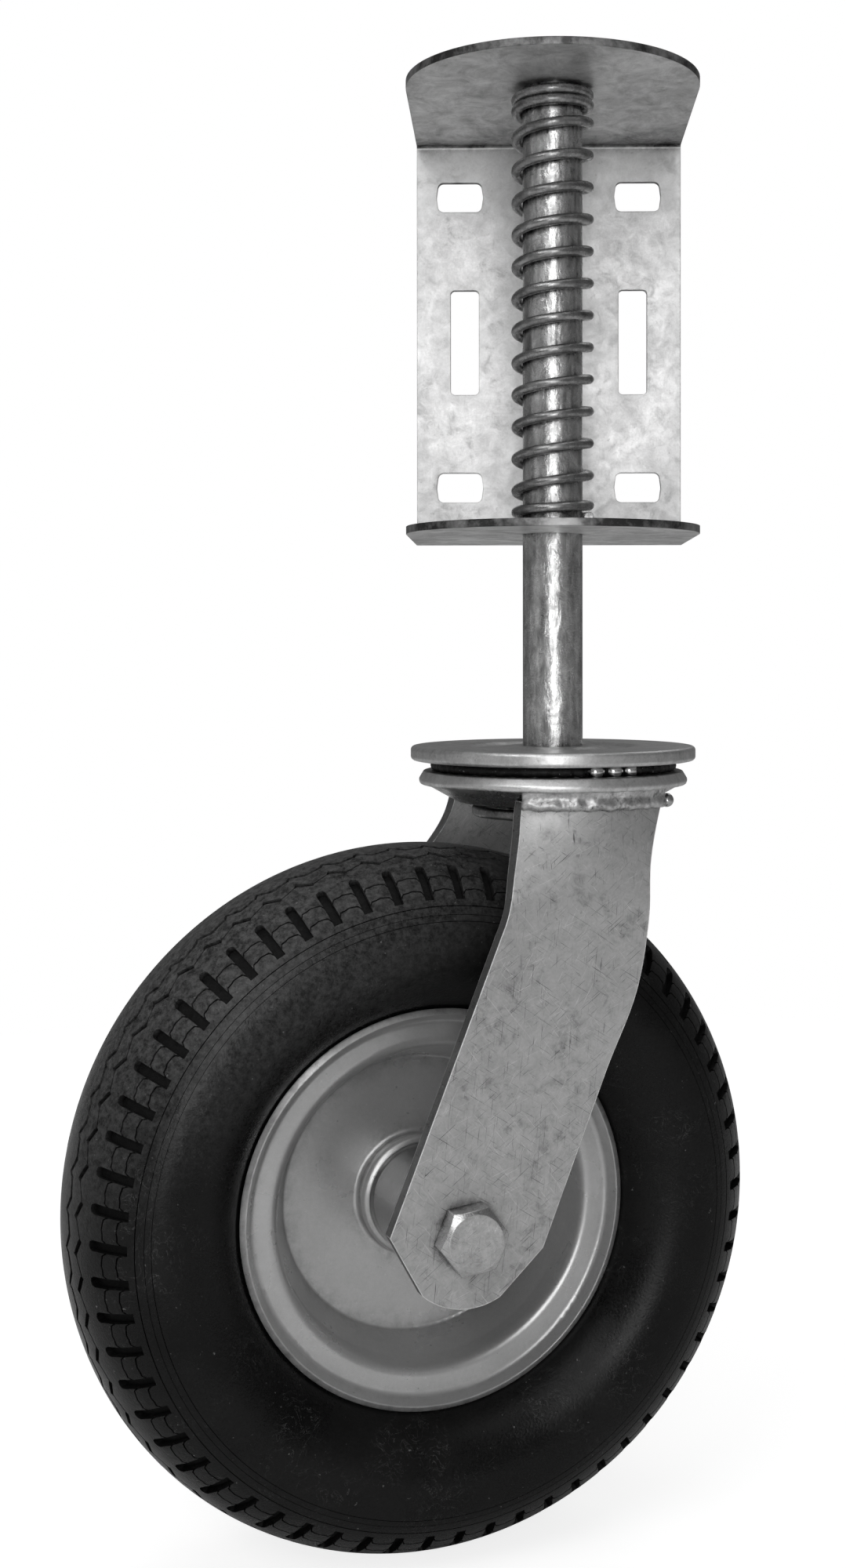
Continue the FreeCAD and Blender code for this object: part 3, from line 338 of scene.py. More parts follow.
def zinc(name, dark, light, roughness=(0.3, 0.5), metallic=0.85, patch=26.0, scratches=0.12,
         specks=0.2, edges=0.15, corner_shade=0.35, vein=0.14, turn=0.0,
         oily_below=None, cut_edges_from=None, sheet_way=None):
    """Zinc plate: cloudy patches, fine mottling, pits, veins, scratches, and painted shade in the
    corners.
    oily_below is the height under which it is dark with oil. cut_edges_from is how far above and
    below the origin a bent sheet's edges start to be bare. sheet_way is the way a flat strap
    faces, and the strap's edges are darker."""
    look = Look(name, turn)
    clouds = look.noise(patch, 5.0, 0.6, 0.4)
    mottle = look.noise(patch * 9, 7.0, 0.7, 0.5)
    grain = look.noise(1500.0, 2.0)
    fine = look.add(look.times(mottle, 0.42), look.times(grain, 0.13))
    mix = look.add(look.times(clouds, 0.45), fine)
    tone = look.remap(mix, 0.37, 0.63, dark, light)
    patches = look.remap(look.noise(55.0, 3.0), 0.48, 0.62, 0.0, 1.0)
    tone = look.add(tone, look.times(look.times(veins(look, 110.0, 0.012), patches), vein))
    pale = hairlines(look, (22, 61, 128), 0.012, 0.00018, 0.7)
    dull = hairlines(look, (38, 84, 147), 0.010, 0.00018, 0.69)
    tone = look.add(tone, look.times(pale, scratches))
    tone = look.math("SUBTRACT", tone, look.times(dull, scratches * 1.6))
    pits = look.remap(look.noise(430.0, 4.0, 0.72), 0.36, 0.27, 0.0, specks)
    stains = look.remap(look.times(mottle, look.noise(70.0, 3.0)), 0.19, 0.13, 0.0, specks * 0.5)
    tone = look.math("SUBTRACT", tone, look.add(pits, stains))
    if sheet_way is not None:
        facing = direction_match(look, look.normal(), sheet_way)
        bare = look.remap(look.math("ABSOLUTE", facing, 0.0), 0.5, 0.25, 0.0, 0.65)
        tone = look.math("SUBTRACT", tone, look.times(tone, bare))
    ragged = look.remap(look.noise(180.0, 4.0, 0.7), 0.4, 0.55, 0.35, 1.0)
    # sharp edges lighter by edges, or darker if it is negative: wear, and on the legs a painted
    # highlight
    tone = look.add(tone, look.times(edge_wear_and_highlight(look, 0.0006, edges), ragged))
    # painted shade: darker where surfaces meet, as ambient occlusion finds them
    tone = look.math("SUBTRACT", tone, painted_corner_shade(look, 0.006, corner_shade))
    gloss = look.remap(mix, 0.37, 0.63, roughness[1], roughness[0])
    if oily_below is not None:
        tone, gloss = oiled(look, tone, gloss, oily_below)
    if cut_edges_from is not None:
        tone = cut_sheet(look, tone, cut_edges_from)
    look.height(mottle, 0.00006)
    look.height(pale, -0.00001)
    look.height(grain, 0.00001)
    return look.finish(look.math("MAXIMUM", tone, 0.02), gloss, Metallic=metallic)


def drawn_rod(name, dark, light):
    """A turned and plated rod: waves of shine, drips and dark patches."""
    look = Look(name)
    waves = look.noise(1.0, 5.0, 0.65, 0.8, look.stretched((240, 240, 120)))
    drips = look.noise(1.0, 3.0, 0.6, 0.4, look.stretched((420, 420, 90)))
    rings = look.noise(1.0, 3.0, 0.6, 0.0, look.stretched((20, 20, 1900)))
    stains = look.noise(130.0, 8.0, 0.78, 0.8)
    mix = look.add(look.times(drips, 0.45), look.times(stains, 0.55))
    tone = look.remap(mix, 0.38, 0.62, dark, light)
    pits = look.remap(look.noise(520.0, 4.0, 0.75), 0.38, 0.28, 0.0, 0.4)
    # pits, and painted shade where the rod meets other parts
    tone = look.math("SUBTRACT", tone, look.add(pits, painted_corner_shade(look, 0.005, 0.4)))
    gloss = look.remap(stains, 0.35, 0.65, 0.36, 0.16)
    look.height(waves, 0.0003)
    look.height(drips, 0.00014)
    look.height(rings, 0.000012)
    look.height(stains, 0.00012)
    return look.finish(look.math("MAXIMUM", tone, 0.03), gloss, Metallic=0.95)


def spring_wire(name, dark, light):
    """Drawn spring wire with worn plating: dull grey, streaked along the coil."""
    look = Look(name)
    streaks = look.noise(1.0, 4.0, 0.6, 0.3, look.stretched((70, 70, 700)))
    spots = look.noise(330.0, 6.0, 0.72)
    mix = look.add(look.times(streaks, 0.45), look.times(spots, 0.55))
    tone = look.remap(mix, 0.38, 0.62, dark, light)
    gloss = look.remap(spots, 0.35, 0.65, 0.38, 0.2)
    look.height(spots, 0.00005)
    return look.finish(tone, gloss, Metallic=0.9)


def steel(name, dark, light, roughness=0.25, metallic=1.0):
    """Ground or turned steel."""
    look = Look(name)
    spots = look.noise(300.0, 5.0, 0.6)
    rings = look.noise(1.0, 2.0, 0.5, 0.0, look.stretched((1100, 60, 1100)))
    mix = look.add(look.times(spots, 0.6), look.times(rings, 0.4))
    tone = look.remap(mix, 0.35, 0.65, dark, light)
    gloss = look.remap(spots, 0.35, 0.65, roughness * 1.4, roughness * 0.7)
    look.height(rings, 0.00001)
    return look.finish(tone, gloss, Metallic=metallic)


def grease(name):
    """Old bearing grease: near black, wet and lumpy, with metal dust in it."""
    look = Look(name)
    lumps = look.noise(420.0, 5.0, 0.65, 0.6)
    dust = look.remap(look.noise(1400.0, 2.0), 0.68, 0.74, 0.0, 0.35)
    tone = look.add(look.remap(lumps, 0.35, 0.65, 0.002, 0.012), dust)
    gloss = look.remap(lumps, 0.35, 0.65, 0.3, 0.5)
    look.height(lumps, 0.0004)
    return look.finish(tone, gloss, Specular_IOR_Level=0.25)


def paint(name, dark, light, roughness, metallic):
    """Silver-grey sprayed paint: faint clouds, orange peel, dust, worn edges, chips and painted
    shade in the corners.
    """
    look = Look(name, rounding=0.0007)
    clouds = look.noise(30.0, 5.0, 0.6)
    peel = look.noise(700.0, 3.0, 0.5)
    dust = look.remap(look.noise(900.0, 2.0, 0.6), 0.70, 0.78, 0.0, 0.12)
    chips = look.remap(look.noise(240.0, 4.0, 0.7), 0.31, 0.26, 0.0, 0.2)
    flake = look.noise(2600.0, 1.0)
    fine = look.add(look.times(peel, 0.22), look.times(flake, 0.23))
    mix = look.add(look.times(clouds, 0.55), fine)
    tone = look.add(look.remap(mix, 0.38, 0.62, dark, light), dust)
    tone = look.add(tone, edge_wear_and_highlight(look, 0.0009, 0.12))
    # chips, and painted shade where surfaces meet
    tone = look.math("SUBTRACT", tone, look.add(chips, painted_corner_shade(look, 0.016, 0.34)))
    gloss = look.remap(clouds, 0.35, 0.65, roughness * 1.15, roughness * 0.85)
    look.height(peel, 0.000035)
    tone = look.math("MAXIMUM", tone, 0.02)
    return look.finish(tone, gloss, Metallic=metallic, Coat_Weight=0.25, Coat_Roughness=0.25)


def rubber(name, dark, light, roughness, sheen_from=None):
    """Moulded black rubber: whitish bloom in soft clouds, fine grain, scuffs and pale specks.
    A patchy painted sheen lightens the tyre on the side that faces the given way from the given
    point."""
    look = Look(name, rounding=0.0)
    bloom = look.noise(24.0, 6.0, 0.65, 0.3)
    grain = look.noise(1300.0, 3.0, 0.6)
    specks = look.remap(look.noise(520.0, 2.0, 0.7), 0.71, 0.79, 0.0, 0.12)
    scuffed = look.remap(look.noise(40.0, 3.0), 0.5, 0.6, 0.0, 0.06)
    scuffs = look.times(veins(look, 160.0, 0.006), scuffed)
    mix = look.add(look.times(bloom, 0.6), look.times(grain, 0.4))
    tone = look.add(look.remap(mix, 0.36, 0.66, dark, light), look.add(specks, scuffs))
    # painted sheen: a patchy lighter tone on one side of the tyre
    if sheen_from is not None:
        away = look.node("VectorMath", {0: look.place, 1: sheen_from}, operation="SUBTRACT")
        toward = direction_match(look, away.outputs[0], PAINTED_SHEEN_WAY)
        sheen_share = look.remap(toward, 0.045, 0.1, 0.0, PAINTED_SHEEN)
        patchy = look.remap(look.noise(480.0, 5.0, 0.8), 0.38, 0.62, 0.2, 1.7)
        tone = look.add(tone, look.times(sheen_share, patchy))
    sunk = look.node("Attribute", {}, attribute_name="sunk").outputs["Fac"]
    # painted shade: the deeper a point lies in a groove, the darker its tone
    tone = look.times(tone, look.remap(sunk, 0.0, 1.0, 1.0, 0.12))
    cloudy = look.add(look.times(bloom, 0.7), look.times(grain, 0.3))
    gloss = look.remap(cloudy, 0.38, 0.62, roughness * 0.7, roughness * 1.3)
    gloss = look.add(gloss, look.times(sunk, 0.4))
    look.height(grain, 0.0001)
    look.height(bloom, 0.0003)
    return look.finish(tone, gloss, Specular_IOR_Level=0.18)


# ---------------------------------------------------------------- mesh helpers

def mesh_object(name, points, faces, matrix=None, smooth_angle=38.0, sunk=None):
    """A mesh object from points in mm. Edges sharper than smooth_angle stay crisp.
    sunk says how deep in a groove each point lies, from 0 to 1."""
    mesh = bpy.data.meshes.new(name)
    placed = [Vector(point) * MM for point in points]
    if matrix is not None:
        placed = [matrix @ point for point in placed]
    mesh.from_pydata(placed, [], faces)
    if sunk:
        mesh.attributes.new("sunk", "FLOAT", "POINT").data.foreach_set("value", sunk)
    cleaner = bmesh.new()
    cleaner.from_mesh(mesh)
    bmesh.ops.remove_doubles(cleaner, verts=cleaner.verts, dist=2e-6)
    bmesh.ops.recalc_face_normals(cleaner, faces=cleaner.faces)
    cleaner.to_mesh(mesh)
    cleaner.free()
    mesh.polygons.foreach_set("use_smooth", [True] * len(mesh.polygons))
    mesh.set_sharp_from_angle(angle=math.radians(smooth_angle))
    made = bpy.data.objects.new(name, mesh)
    bpy.context.scene.collection.objects.link(made)
    return made


def replace_node(piece, node, material, body):
    piece.data.materials.append(material)
    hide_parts(node)
    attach(piece, body)


def joint_frame(joint_name):
    """The frame of a joint: its origin, with Z along its axis and Y as near to up as it goes."""
    joint = joints[joint_name]
    along = Vector(joint["axis"]).normalized()
    up = Vector((0, 0, 1)) if abs(along.z) < 0.9 else Vector((0, 1, 0))
    side = up.cross(along).normalized()
    up = along.cross(side)
    turn = Matrix((side, up, along)).transposed().to_4x4()
    return Matrix.Translation(Vector(joint["pos_m"])) @ turn


def tube_faces(rings, sides):
    """Faces of a tube whose points come ring by ring, closed flat at both ends."""
    faces = []
    for start in range(0, (rings - 1) * sides, sides):
        for j in range(sides):
            a, b = start + j, start + (j + 1) % sides
            faces.append((a, b, b + sides, a + sides))
    faces.append(tuple(range(sides)))
    faces.append(tuple(range((rings - 1) * sides, rings * sides)))
    return faces


# ---------------------------------------------------------------- tyre

def section_point(angle, depth=0.0):
    """Radius and half width, in mm, on the tyre's section at an angle, sunk by a depth."""
    turn = math.radians(angle)
    across, up = math.cos(turn), math.sin(turn)
    reach = (abs(across) ** SECTION_POWER + abs(up) ** SECTION_POWER) ** (-1 / SECTION_POWER)
    width = reach * across * TYRE_HALF_WIDTH
    rise = reach * up * SECTION_HALF_HEIGHT
    slope_w = abs(width / TYRE_HALF_WIDTH) ** (SECTION_POWER - 1) / TYRE_HALF_WIDTH
    slope_r = abs(rise / SECTION_HALF_HEIGHT) ** (SECTION_POWER - 1) / SECTION_HALF_HEIGHT
    slope_w, slope_r = math.copysign(slope_w, width), math.copysign(slope_r, rise)
    length = math.hypot(slope_w, slope_r)
    width -= depth * slope_w / length
    rise -= depth * slope_r / length
    return SECTION_CENTRE + rise, width


def band(points, width):
    """A closed outline round an open line of points, square across at both ends in x."""
    above, below = [], []
    for i, point in enumerate(points):
        before, after = points[max(i - 1, 0)], points[min(i + 1, len(points) - 1)]
        run = math.hypot(after[0] - before[0], after[1] - before[1])
        lift = width[i] / 2 * run / abs(after[0] - before[0])
        above.append((point[0], point[1] + lift))
        below.append((point[0], point[1] - lift))
    return below + above[::-1]


def tread_cell():
    """One pitch of tread. x is mm along the pitch and y is the section angle, in mm of arc.
    Returns its points and its triangles with a depth each."""
    half = math.pi * TYRE_RADIUS * MEAN_RADIUS / PITCHES

    def at(x, angle):
        return (x, angle * DEGREE_ARC)

    slot_low, slot_high = SLOT_SPAN
    edge = SLOT_HALF_WIDTH
    slot = [
        at(-edge, slot_low), at(edge, slot_low),
        at(edge, slot_high - 2.6), at(edge * 0.72, slot_high - 0.8), at(edge * 0.1, slot_high),
        at(-edge * 0.65, slot_high - 0.5), at(-edge, slot_high - 2.2),
    ]
    shapes = [(slot, SLOT_DEPTH)]
    for low, high in SIPES:
        middle = (low + high) / 2 + 0.9
        right = [
            at(edge, low), at(edge + 0.7, middle - 0.2),
            at(edge + 1.9, high - 0.5), at(half, high),
        ]
        left = [
            at(-half, high), at(-half + 1.4, high - 0.7),
            at(-edge - 0.8, middle), at(-edge, low + 0.4),
        ]
        for line in (right, left):
            shapes.append((band(line, [SIPE_WIDTH] * len(line)), SIPE_DEPTH))
    inner = [
        at(-half, 66.2), at(-0.4, 62.8), at(0.2, 62.8), at(half * 0.82, 67.6), at(half, 66.2),
    ]
    shapes.append((band(inner, INNER_WAVE_WIDTHS), WAVE_DEPTH * INNER_WAVE_SHARE))
    outer = [
        at(-half, 76.8), at(-0.6, 74.6), at(0.2, 74.7), at(half * 0.78, 79.6), at(half, 76.8),
    ]
    shapes.append((band(outer, OUTER_WAVE_WIDTHS), WAVE_DEPTH))

    points, faces = [], []
    for outline, _ in shapes:
        faces.append(list(range(len(points), len(points) + len(outline))))
        points.extend(Vector(point) for point in outline)
    for i in range(TREAD_ROWS + 1):
        row = TREAD_START + (90 - TREAD_START) * i / TREAD_ROWS
        for column in range(TREAD_COLUMNS + 1):
            points.append(Vector(at(-half + 2 * half * column / TREAD_COLUMNS, row)))
    found = geometry.delaunay_2d_cdt(points, [], faces, 0, 1e-4, True)
    spots, triangles, owners = found[0], found[2], found[5]
    low, high = TREAD_START * DEGREE_ARC, 90 * DEGREE_ARC
    sunk = []
    for triangle, owner in zip(triangles, owners):
        middle = sum((spots[i] for i in triangle), Vector((0, 0))) / 3
        if abs(middle.x) > half or not low < middle.y < high:
            continue
        sunk.append((triangle, max((shapes[i][1] for i in owner), default=0.0)))
    return [(spot.x / half, spot.y / DEGREE_ARC) for spot in spots], sunk


def lathe(profile, columns):
    """Points and faces of a surface of revolution about Z through (radius, height) points."""
    points, faces = [], []
    count = len(profile)
    for i in range(columns):
        turn = 2 * math.pi * i / columns
        for radius, height in profile:
            points.append((radius * math.cos(turn), radius * math.sin(turn), height))
        for j in range(count - 1):
            a, b = i * count + j, (i + 1) % columns * count + j
            faces.append((a, b, b + 1, a + 1))
    return points, faces


def sidewall_profile():
    """Points of the outside from the tread down to the bead, with the thin lines sunk in it."""
    profile = [section_point(TREAD_START)]
    angle = TREAD_START
    while angle > BEAD_START + 0.01:
        for line in SIDE_LINES:
            if angle - SIDE_STEP < line <= angle:
                profile.extend(section_point(line + shift, depth) for shift, depth in LINE_GROOVE)
        angle = max(angle - SIDE_STEP, BEAD_START)
        profile.append(section_point(angle))
    return profile


def cavity_profile():
    """Points of the space for the tube, from one side of its mouth round to the other."""
    centre, half_height, half_width = CAVITY
    start = math.asin(MOUTH / half_width)
    profile = []
    for i in range(CAVITY_STEPS + 1):
        turn = start + (2 * math.pi - 2 * start) * i / CAVITY_STEPS
        profile.append((centre - half_height * math.cos(turn), half_width * math.sin(turn)))
    return profile


def build_tyre(material):
    spots, triangles = tread_cell()
    points, faces, index, sunk = [], [], {}, []

    def corner(pitch, spot, depth, side):
        along, angle = spots[spot]
        key = (pitch, spot, depth, side)
        if key not in index:
            radius, width = section_point(angle, depth)
            shift = 0.5 if side < 0 else 0.0
            turn = (pitch + shift + along / 2) * 2 * math.pi / PITCHES
            index[key] = len(points)
            points.append((radius * math.cos(turn), radius * math.sin(turn), side * width))
            # how deep the point lies; the rubber look turns this into painted shade in the grooves
            sunk.append(min(depth / WAVE_DEPTH, 1.0))
        return index[key]

    def add_revolved(profile):
        some, quads = lathe(profile, PITCHES * TREAD_COLUMNS)
        faces.extend([[spot + len(points) for spot in quad] for quad in quads])
        points.extend(some)

    edges = {}
    for triangle, depth in triangles:
        for first, second in zip(triangle, triangle[1:] + triangle[:1]):
            edges.setdefault(frozenset((first, second)), []).append(depth)
    walls = [
        (tuple(edge), min(depths), max(depths))
        for edge, depths in edges.items() if len(depths) == 2 and depths[0] != depths[1]
    ]
    for side in (1, -1):
        for pitch in range(PITCHES):
            for triangle, depth in triangles:
                faces.append([corner(pitch, spot, depth, side) for spot in triangle])
            for (first, second), shallow, deep in walls:
                faces.append([
                    corner(pitch, first, shallow, side), corner(pitch, second, shallow, side),
                    corner(pitch, second, deep, side), corner(pitch, first, deep, side),
                ])
    cavity = cavity_profile()
    half_section = sidewall_profile() + list(BEAD) + cavity[:1]
    for side in (1, -1):
        add_revolved([(radius, side * height) for radius, height in half_section])
    add_revolved(cavity)
    sunk.extend([0.0] * (len(points) - len(sunk)))
    piece = mesh_object("tyre_with_tread", points, faces, joint_frame("wheel_spin"), sunk=sunk)
    replace_node(piece, "tyre", material, "wheel")


# ---------------------------------------------------------------- spring

def build_spring(material):
    """The coil spring, with its ends closed against the retaining ring and the upper flange."""
    low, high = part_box("compression_spring")
    centre = (low + high) / 2
    radius = (high.x - low.x) / MM / 2 - WIRE_RADIUS
    bottom, top = low.z / MM + WIRE_RADIUS, high.z / MM - WIRE_RADIUS
    open_pitch = (top - bottom - (COIL_TURNS - OPEN_TURNS) * CLOSED_PITCH) / OPEN_TURNS

    def height(turn):
        turn = min(max(turn, 0.0), COIL_TURNS)
        closed = min(turn, LOW_CLOSED_TURNS) + max(0.0, turn - LOW_CLOSED_TURNS - OPEN_TURNS)
        return bottom + closed * CLOSED_PITCH + (turn - closed) * open_pitch

    points = []
    rings = COIL_TURNS * WIRE_STEPS + 1
    for i in range(rings):
        turn = i / WIRE_STEPS
        middle = sum(height(turn + shift) for shift in PITCH_EASE) / len(PITCH_EASE)
        angle = 2 * math.pi * turn
        outward = Vector((math.cos(angle), math.sin(angle), 0))
        spot = Vector((centre.x / MM, centre.y / MM, middle)) + outward * radius
        for j in range(WIRE_SIDES):
            around = 2 * math.pi * j / WIRE_SIDES
            lift = Vector((0, 0, WIRE_RADIUS * math.sin(around)))
            points.append(spot + outward * WIRE_RADIUS * math.cos(around) + lift)
    faces = tube_faces(rings, WIRE_SIDES)
    piece = mesh_object("coil_spring", points, faces, smooth_angle=60.0)
    replace_node(piece, "compression_spring", material, "bracket")
    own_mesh(piece)


# ---------------------------------------------------------------- welds and grease

def swept_arc(first, last, rows, section):
    """Points of a section swept about Z. section(angle) gives its (radius, height) points."""
    points = []
    for i in range(rows):
        angle = first + (last - first) * i / (rows - 1)
        for radius, height in section(angle):
            points.append(Vector((radius * math.cos(angle), radius * math.sin(angle), height)))
    return points


def lumpiness(spot, lumps):
    """Noise at a spot, added up from lumps of several sizes."""
    return sum(height * noise.noise(spot * fineness) for fineness, height in lumps)


def build_weld(node, name, material, seed):
    """A hand-laid fillet from the crown's lip down over the leg's top edge, rippled and lumpy."""
    low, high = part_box(node)
    pivot = Vector(joints["swivel"]["pos_m"])
    middle = (low + high) / 2 - pivot
    facing = math.atan2(middle.y, middle.x)

    def section(angle):
        share = (angle - facing) / WELD_HALF_SPAN
        fade = min(1.0, (1 - abs(share)) * 25 + 0.3)
        blob = math.exp(-(((share - BLOB_PLACE) / BLOB_WIDTH) ** 2))
        found = []
        for i, (radius, height) in enumerate(WELD_FRONT):
            lump = lumpiness(Vector((share * 16, i * 0.55, seed)), WELD_LUMPS)
            sag = WELD_SAG * noise.noise(Vector((share * 7, 4.0, seed)))
            ridge = BLOB_HEIGHT * blob - WELD_TAPER * (share + 0.4) if i in WELD_RIDGE else 0.0
            reach = radius - WELD_SINK + fade * (0.6 + lump + ridge)
            found.append((min(reach, WELD_REACH), height + (sag if i >= WELD_SAG_FROM else 0.0)))
        return found + list(WELD_BACK)

    points = swept_arc(facing - WELD_HALF_SPAN, facing + WELD_HALF_SPAN, WELD_ROWS, section)
    faces = tube_faces(WELD_ROWS, len(WELD_FRONT) + len(WELD_BACK))
    piece = mesh_object(name, points, faces, Matrix.Translation(pivot), smooth_angle=80.0)
    replace_node(piece, node, material, "fork")


def rounded_square(turn):
    """Across and up, from -1 to 1, at a turn round a section between an ellipse and a box."""
    across, up = math.cos(turn), math.sin(turn)
    return tuple(math.copysign(abs(value) ** GREASE_SQUARENESS, value) for value in (across, up))


def build_grease(material):
    """Grease squeezed out round the upper balls. A few balls show through it."""
    pivot = Vector(joints["swivel"]["pos_m"])
    bare_from, bare_to = GREASE_BARE

    def section(angle):
        turn = (angle + math.pi) % (2 * math.pi) - math.pi
        bare = 1.0 if bare_from < turn < bare_to else 0.0
        along = Vector((math.cos(angle), math.sin(angle), 0))
        lump = lumpiness(along, GREASE_LUMPS)
        outer = GREASE_OUTER + GREASE_BULGE * lump - GREASE_BARE_DEPTH * bare
        top = GREASE_TOP - 0.12 * abs(noise.noise(along * 31))
        low = GREASE_LOW + 0.15 * abs(noise.noise(along * 29 + Vector((5, 0, 0))))
        middle, half = (top + low) / 2, (top - low) / 2
        reach = (outer - GREASE_INNER) / 2
        found = []
        for i in range(GREASE_SIDES):
            across, up = rounded_square(2 * math.pi * i / GREASE_SIDES)
            found.append((GREASE_INNER + reach + reach * across, middle + half * up))
        return found

    points = swept_arc(-math.pi, math.pi, GREASE_ROWS, section)[:-GREASE_SIDES]
    last = len(points) - GREASE_SIDES
    faces = tube_faces(GREASE_ROWS - 1, GREASE_SIDES)[:-2]      # a full ring has no ends
    for j in range(GREASE_SIDES):
        following = (j + 1) % GREASE_SIDES
        faces.append((last + j, last + following, following, j))
    matrix = Matrix.Translation(pivot)
    piece = mesh_object("swivel_grease", points, faces, matrix, smooth_angle=80.0)
    piece.data.materials.append(material)
    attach(piece, "upper_ball_row")


# ---------------------------------------------------------------- looks

SLOT_LOOKS = {
    "zinc_bracket": zinc(
        "zinc_bracket_look", 0.47, 0.66, (0.36, 0.52), 0.8, 22.0, 0.03,
        specks=0.14, edges=-0.2, corner_shade=0.4, vein=0.05, cut_edges_from=FLANGE_LEVEL,
    ),
    "zinc_stem": drawn_rod("zinc_stem_look", 0.28, 0.86),
    "spring_steel": spring_wire("spring_steel_look", 0.13, 0.4),
    "zinc_swivel": zinc("zinc_swivel_look", 0.42, 0.74, (0.28, 0.46), 0.88, 40.0, 0.06, edges=0.08),
    "bearing_steel": steel("bearing_steel_look", 0.6, 0.8, 0.14),
    # edges=1.4 paints a bright highlight along the legs' arrises
    "zinc_leg": zinc(
        "zinc_leg_look", 0.36, 0.55, (0.42, 0.56), 0.6, 26.0, 0.2,
        edges=1.4, vein=0.04, turn=FORK_TURN, sheet_way=AXLE,
    ),
    "weld_metal": zinc("weld_metal_look", 0.28, 0.78, (0.3, 0.5), 0.9, 60.0, 0.03, specks=0.5),
    "zinc_fastener": zinc(
        "zinc_fastener_look", 0.34, 0.62, (0.2, 0.32), 0.95, 60.0, 0.15,
        specks=0.15, edges=0.5, corner_shade=0.7,
    ),
    "rim_paint": paint("rim_paint_look", 0.44, 0.52, 0.3, 0.6),
    "hub_paint": paint("hub_paint_look", 0.06, 0.1, 0.1, 0.5),
    "tyre_rubber": rubber("tyre_rubber_look", 0.002, 0.009, 0.3, joints["wheel_spin"]["pos_m"]),
    "tube_rubber": rubber("tube_rubber_look", 0.02, 0.045, 0.55),
    "seal_rubber": rubber("seal_rubber_look", 0.02, 0.04, 0.45),
    "cap_plastic": rubber("cap_plastic_look", 0.015, 0.03, 0.35),
}
NODE_LOOKS = {
    "fork_crown": zinc(
        "crown_look", 0.52, 0.8, (0.3, 0.46), 0.88, 40.0, 0.06, edges=0.1, oily_below=CROWN_WAIST
    ),
    "lower_race": zinc("greasy_race_look", 0.16, 0.34, (0.25, 0.4), 0.8, 60.0, 0.03),
}

for name, node in nodes.items():
    for place in node.material_slots:
        place.material = NODE_LOOKS.get(name, SLOT_LOOKS[place.material.name])

build_tyre(SLOT_LOOKS["tyre_rubber"])
build_spring(SLOT_LOOKS["spring_steel"])
build_weld("leg_weld_near", "near_weld_bead", SLOT_LOOKS["weld_metal"], 1.0)
build_weld("leg_weld_far", "far_weld_bead", SLOT_LOOKS["weld_metal"], 7.0)
build_grease(grease("grease_look"))


# ---------------------------------------------------------------- floor, light and camera

def camera_switch(tree, seen, unseen, output):
    """One shader for the view's white background, another for light and reflections."""
    rays = tree.nodes.new("ShaderNodeLightPath")
    mix = tree.nodes.new("ShaderNodeMixShader")
    tree.links.new(rays.outputs["Is Camera Ray"], mix.inputs[0])
    tree.links.new(unseen.outputs[0], mix.inputs[1])
    tree.links.new(seen.outputs[0], mix.inputs[2])
    tree.links.new(mix.outputs[0], output.inputs["Surface"])


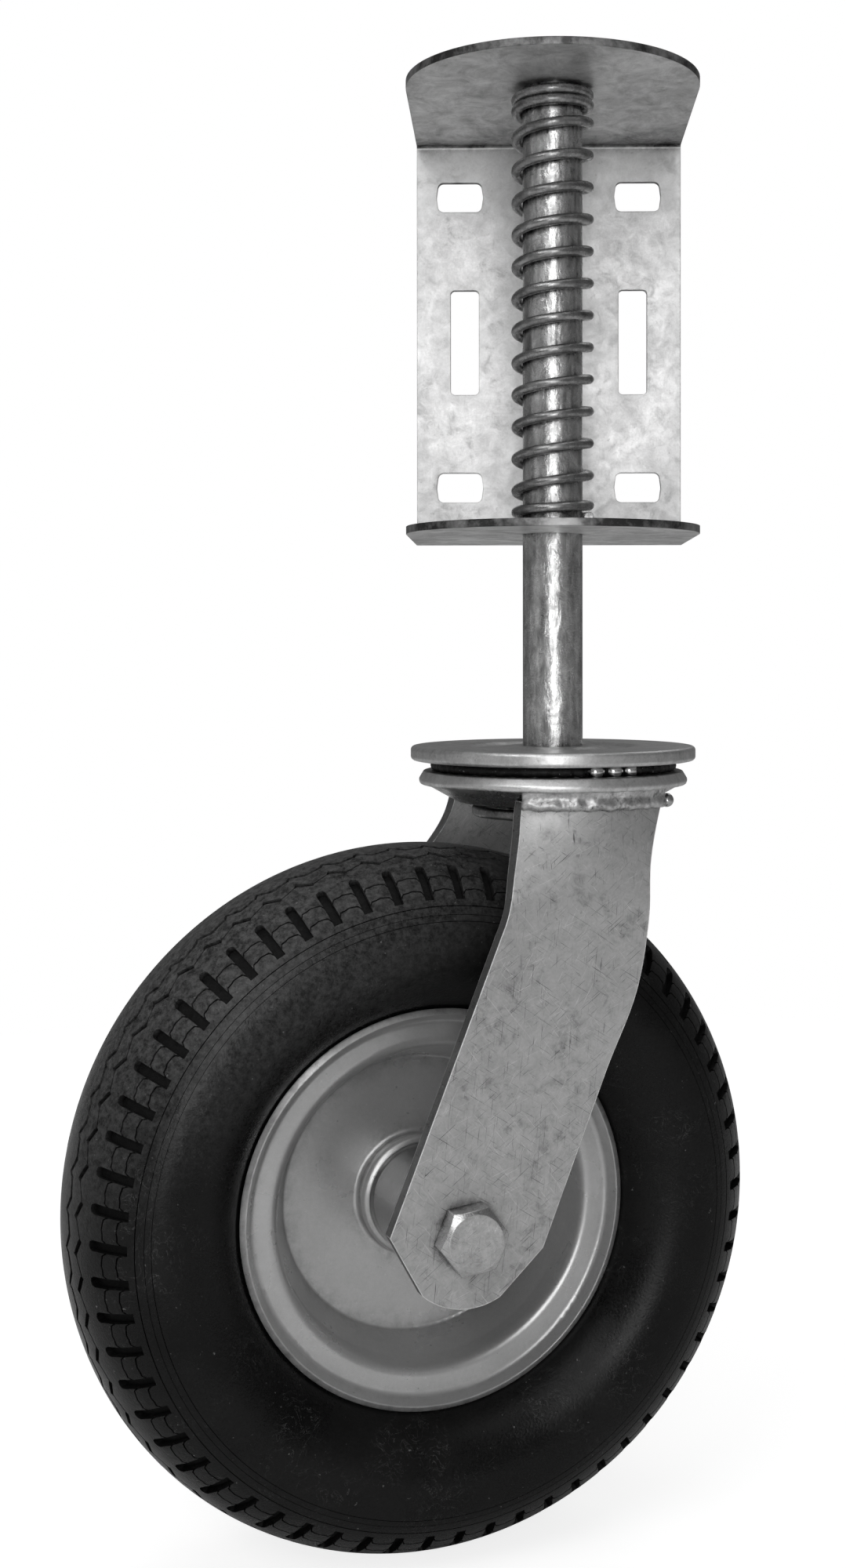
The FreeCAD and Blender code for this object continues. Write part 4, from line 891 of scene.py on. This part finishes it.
def build_floor():
    """Pale floor, with a soft shadow near the wheel and plain white further off."""
    look = Look("pale_floor")
    tree = look.tree
    cloud = look.noise(2.0, 2.0)
    look.finish(look.remap(cloud, 0.3, 0.7, 0.5, 0.54), 0.7, Specular_IOR_Level=0.0)
    distance = look.node("VectorMath", {0: look.place}, operation="LENGTH").outputs["Value"]
    far = look.remap(distance, WHITE_FROM, WHITE_TO, 0.0, 1.0)
    glow = look.node("Emission", {"Strength": look.remap(far, 0.0, 1.0, FLOOR_GLOW, 1.0)})
    plain = look.node("Emission", {"Strength": 1.0})
    near = look.node("AddShader", {0: look.surface.outputs[0], 1: glow.outputs[0]})
    seen = look.node("MixShader", {0: far, 1: near.outputs[0], 2: plain.outputs[0]})
    room = look.node("BsdfDiffuse", {"Color": (FLOOR_BOUNCE, FLOOR_BOUNCE, FLOOR_BOUNCE, 1.0)})
    camera_switch(tree, seen, room, look.output)
    level = cad_low.z - FLOOR_GAP
    mesh = bpy.data.meshes.new("floor")
    made = bmesh.new()
    corners = [
        made.verts.new((x * FLOOR_SIZE, y * FLOOR_SIZE, level))
        for x, y in ((-1, -1), (1, -1), (1, 1), (-1, 1))
    ]
    made.faces.new(corners)
    bmesh.ops.subdivide_edges(made, edges=made.edges, cuts=FLOOR_CUTS, use_grid_fill=True)
    made.to_mesh(mesh)
    made.free()
    floor = bpy.data.objects.new("floor", mesh)
    bpy.context.scene.collection.objects.link(floor)
    mesh.materials.append(look.material)


def softbox(name, place, target, width, height, power):
    light = bpy.data.lights.new(name, "AREA")
    light.shape = "RECTANGLE"
    light.size, light.size_y, light.energy = width, height, power
    lamp = bpy.data.objects.new(name, light)
    lamp.location = place
    lamp.rotation_euler = (Vector(target) - Vector(place)).to_track_quat("-Z", "Y").to_euler()
    bpy.context.scene.collection.objects.link(lamp)


def build_world():
    """White behind the object, and a dimmer room for light and reflections."""
    world = bpy.data.worlds.new("studio")
    world.use_nodes = True
    tree = world.node_tree
    tree.nodes.clear()
    output = tree.nodes.new("ShaderNodeOutputWorld")
    shades = []
    for strength in (1.0, ROOM_LEVEL):
        shade = tree.nodes.new("ShaderNodeBackground")
        shade.inputs["Color"].default_value = (1, 1, 1, 1)
        shade.inputs["Strength"].default_value = strength
        shades.append(shade)
    white, room = shades
    camera_switch(tree, white, room, output)
    bpy.context.scene.world = world


build_floor()
build_world()
for box in SOFTBOXES:
    softbox(*box)

camera_data = bpy.data.cameras.new("camera")
camera_data.lens = CAMERA_LENS
camera_data.sensor_width = CAMERA_SENSOR
camera_data.shift_x, camera_data.shift_y = CAMERA_SHIFT
camera = bpy.data.objects.new("camera", camera_data)
back = CAMERA_RIGHT.cross(CAMERA_UP).normalized()
turn = Matrix((CAMERA_RIGHT, CAMERA_UP, back)).transposed().to_4x4()
camera.matrix_world = Matrix.Translation(CAMERA_PLACE) @ turn
bpy.context.scene.collection.objects.link(camera)
bpy.context.scene.camera = camera
bpy.context.scene.view_settings.view_transform = "Standard"
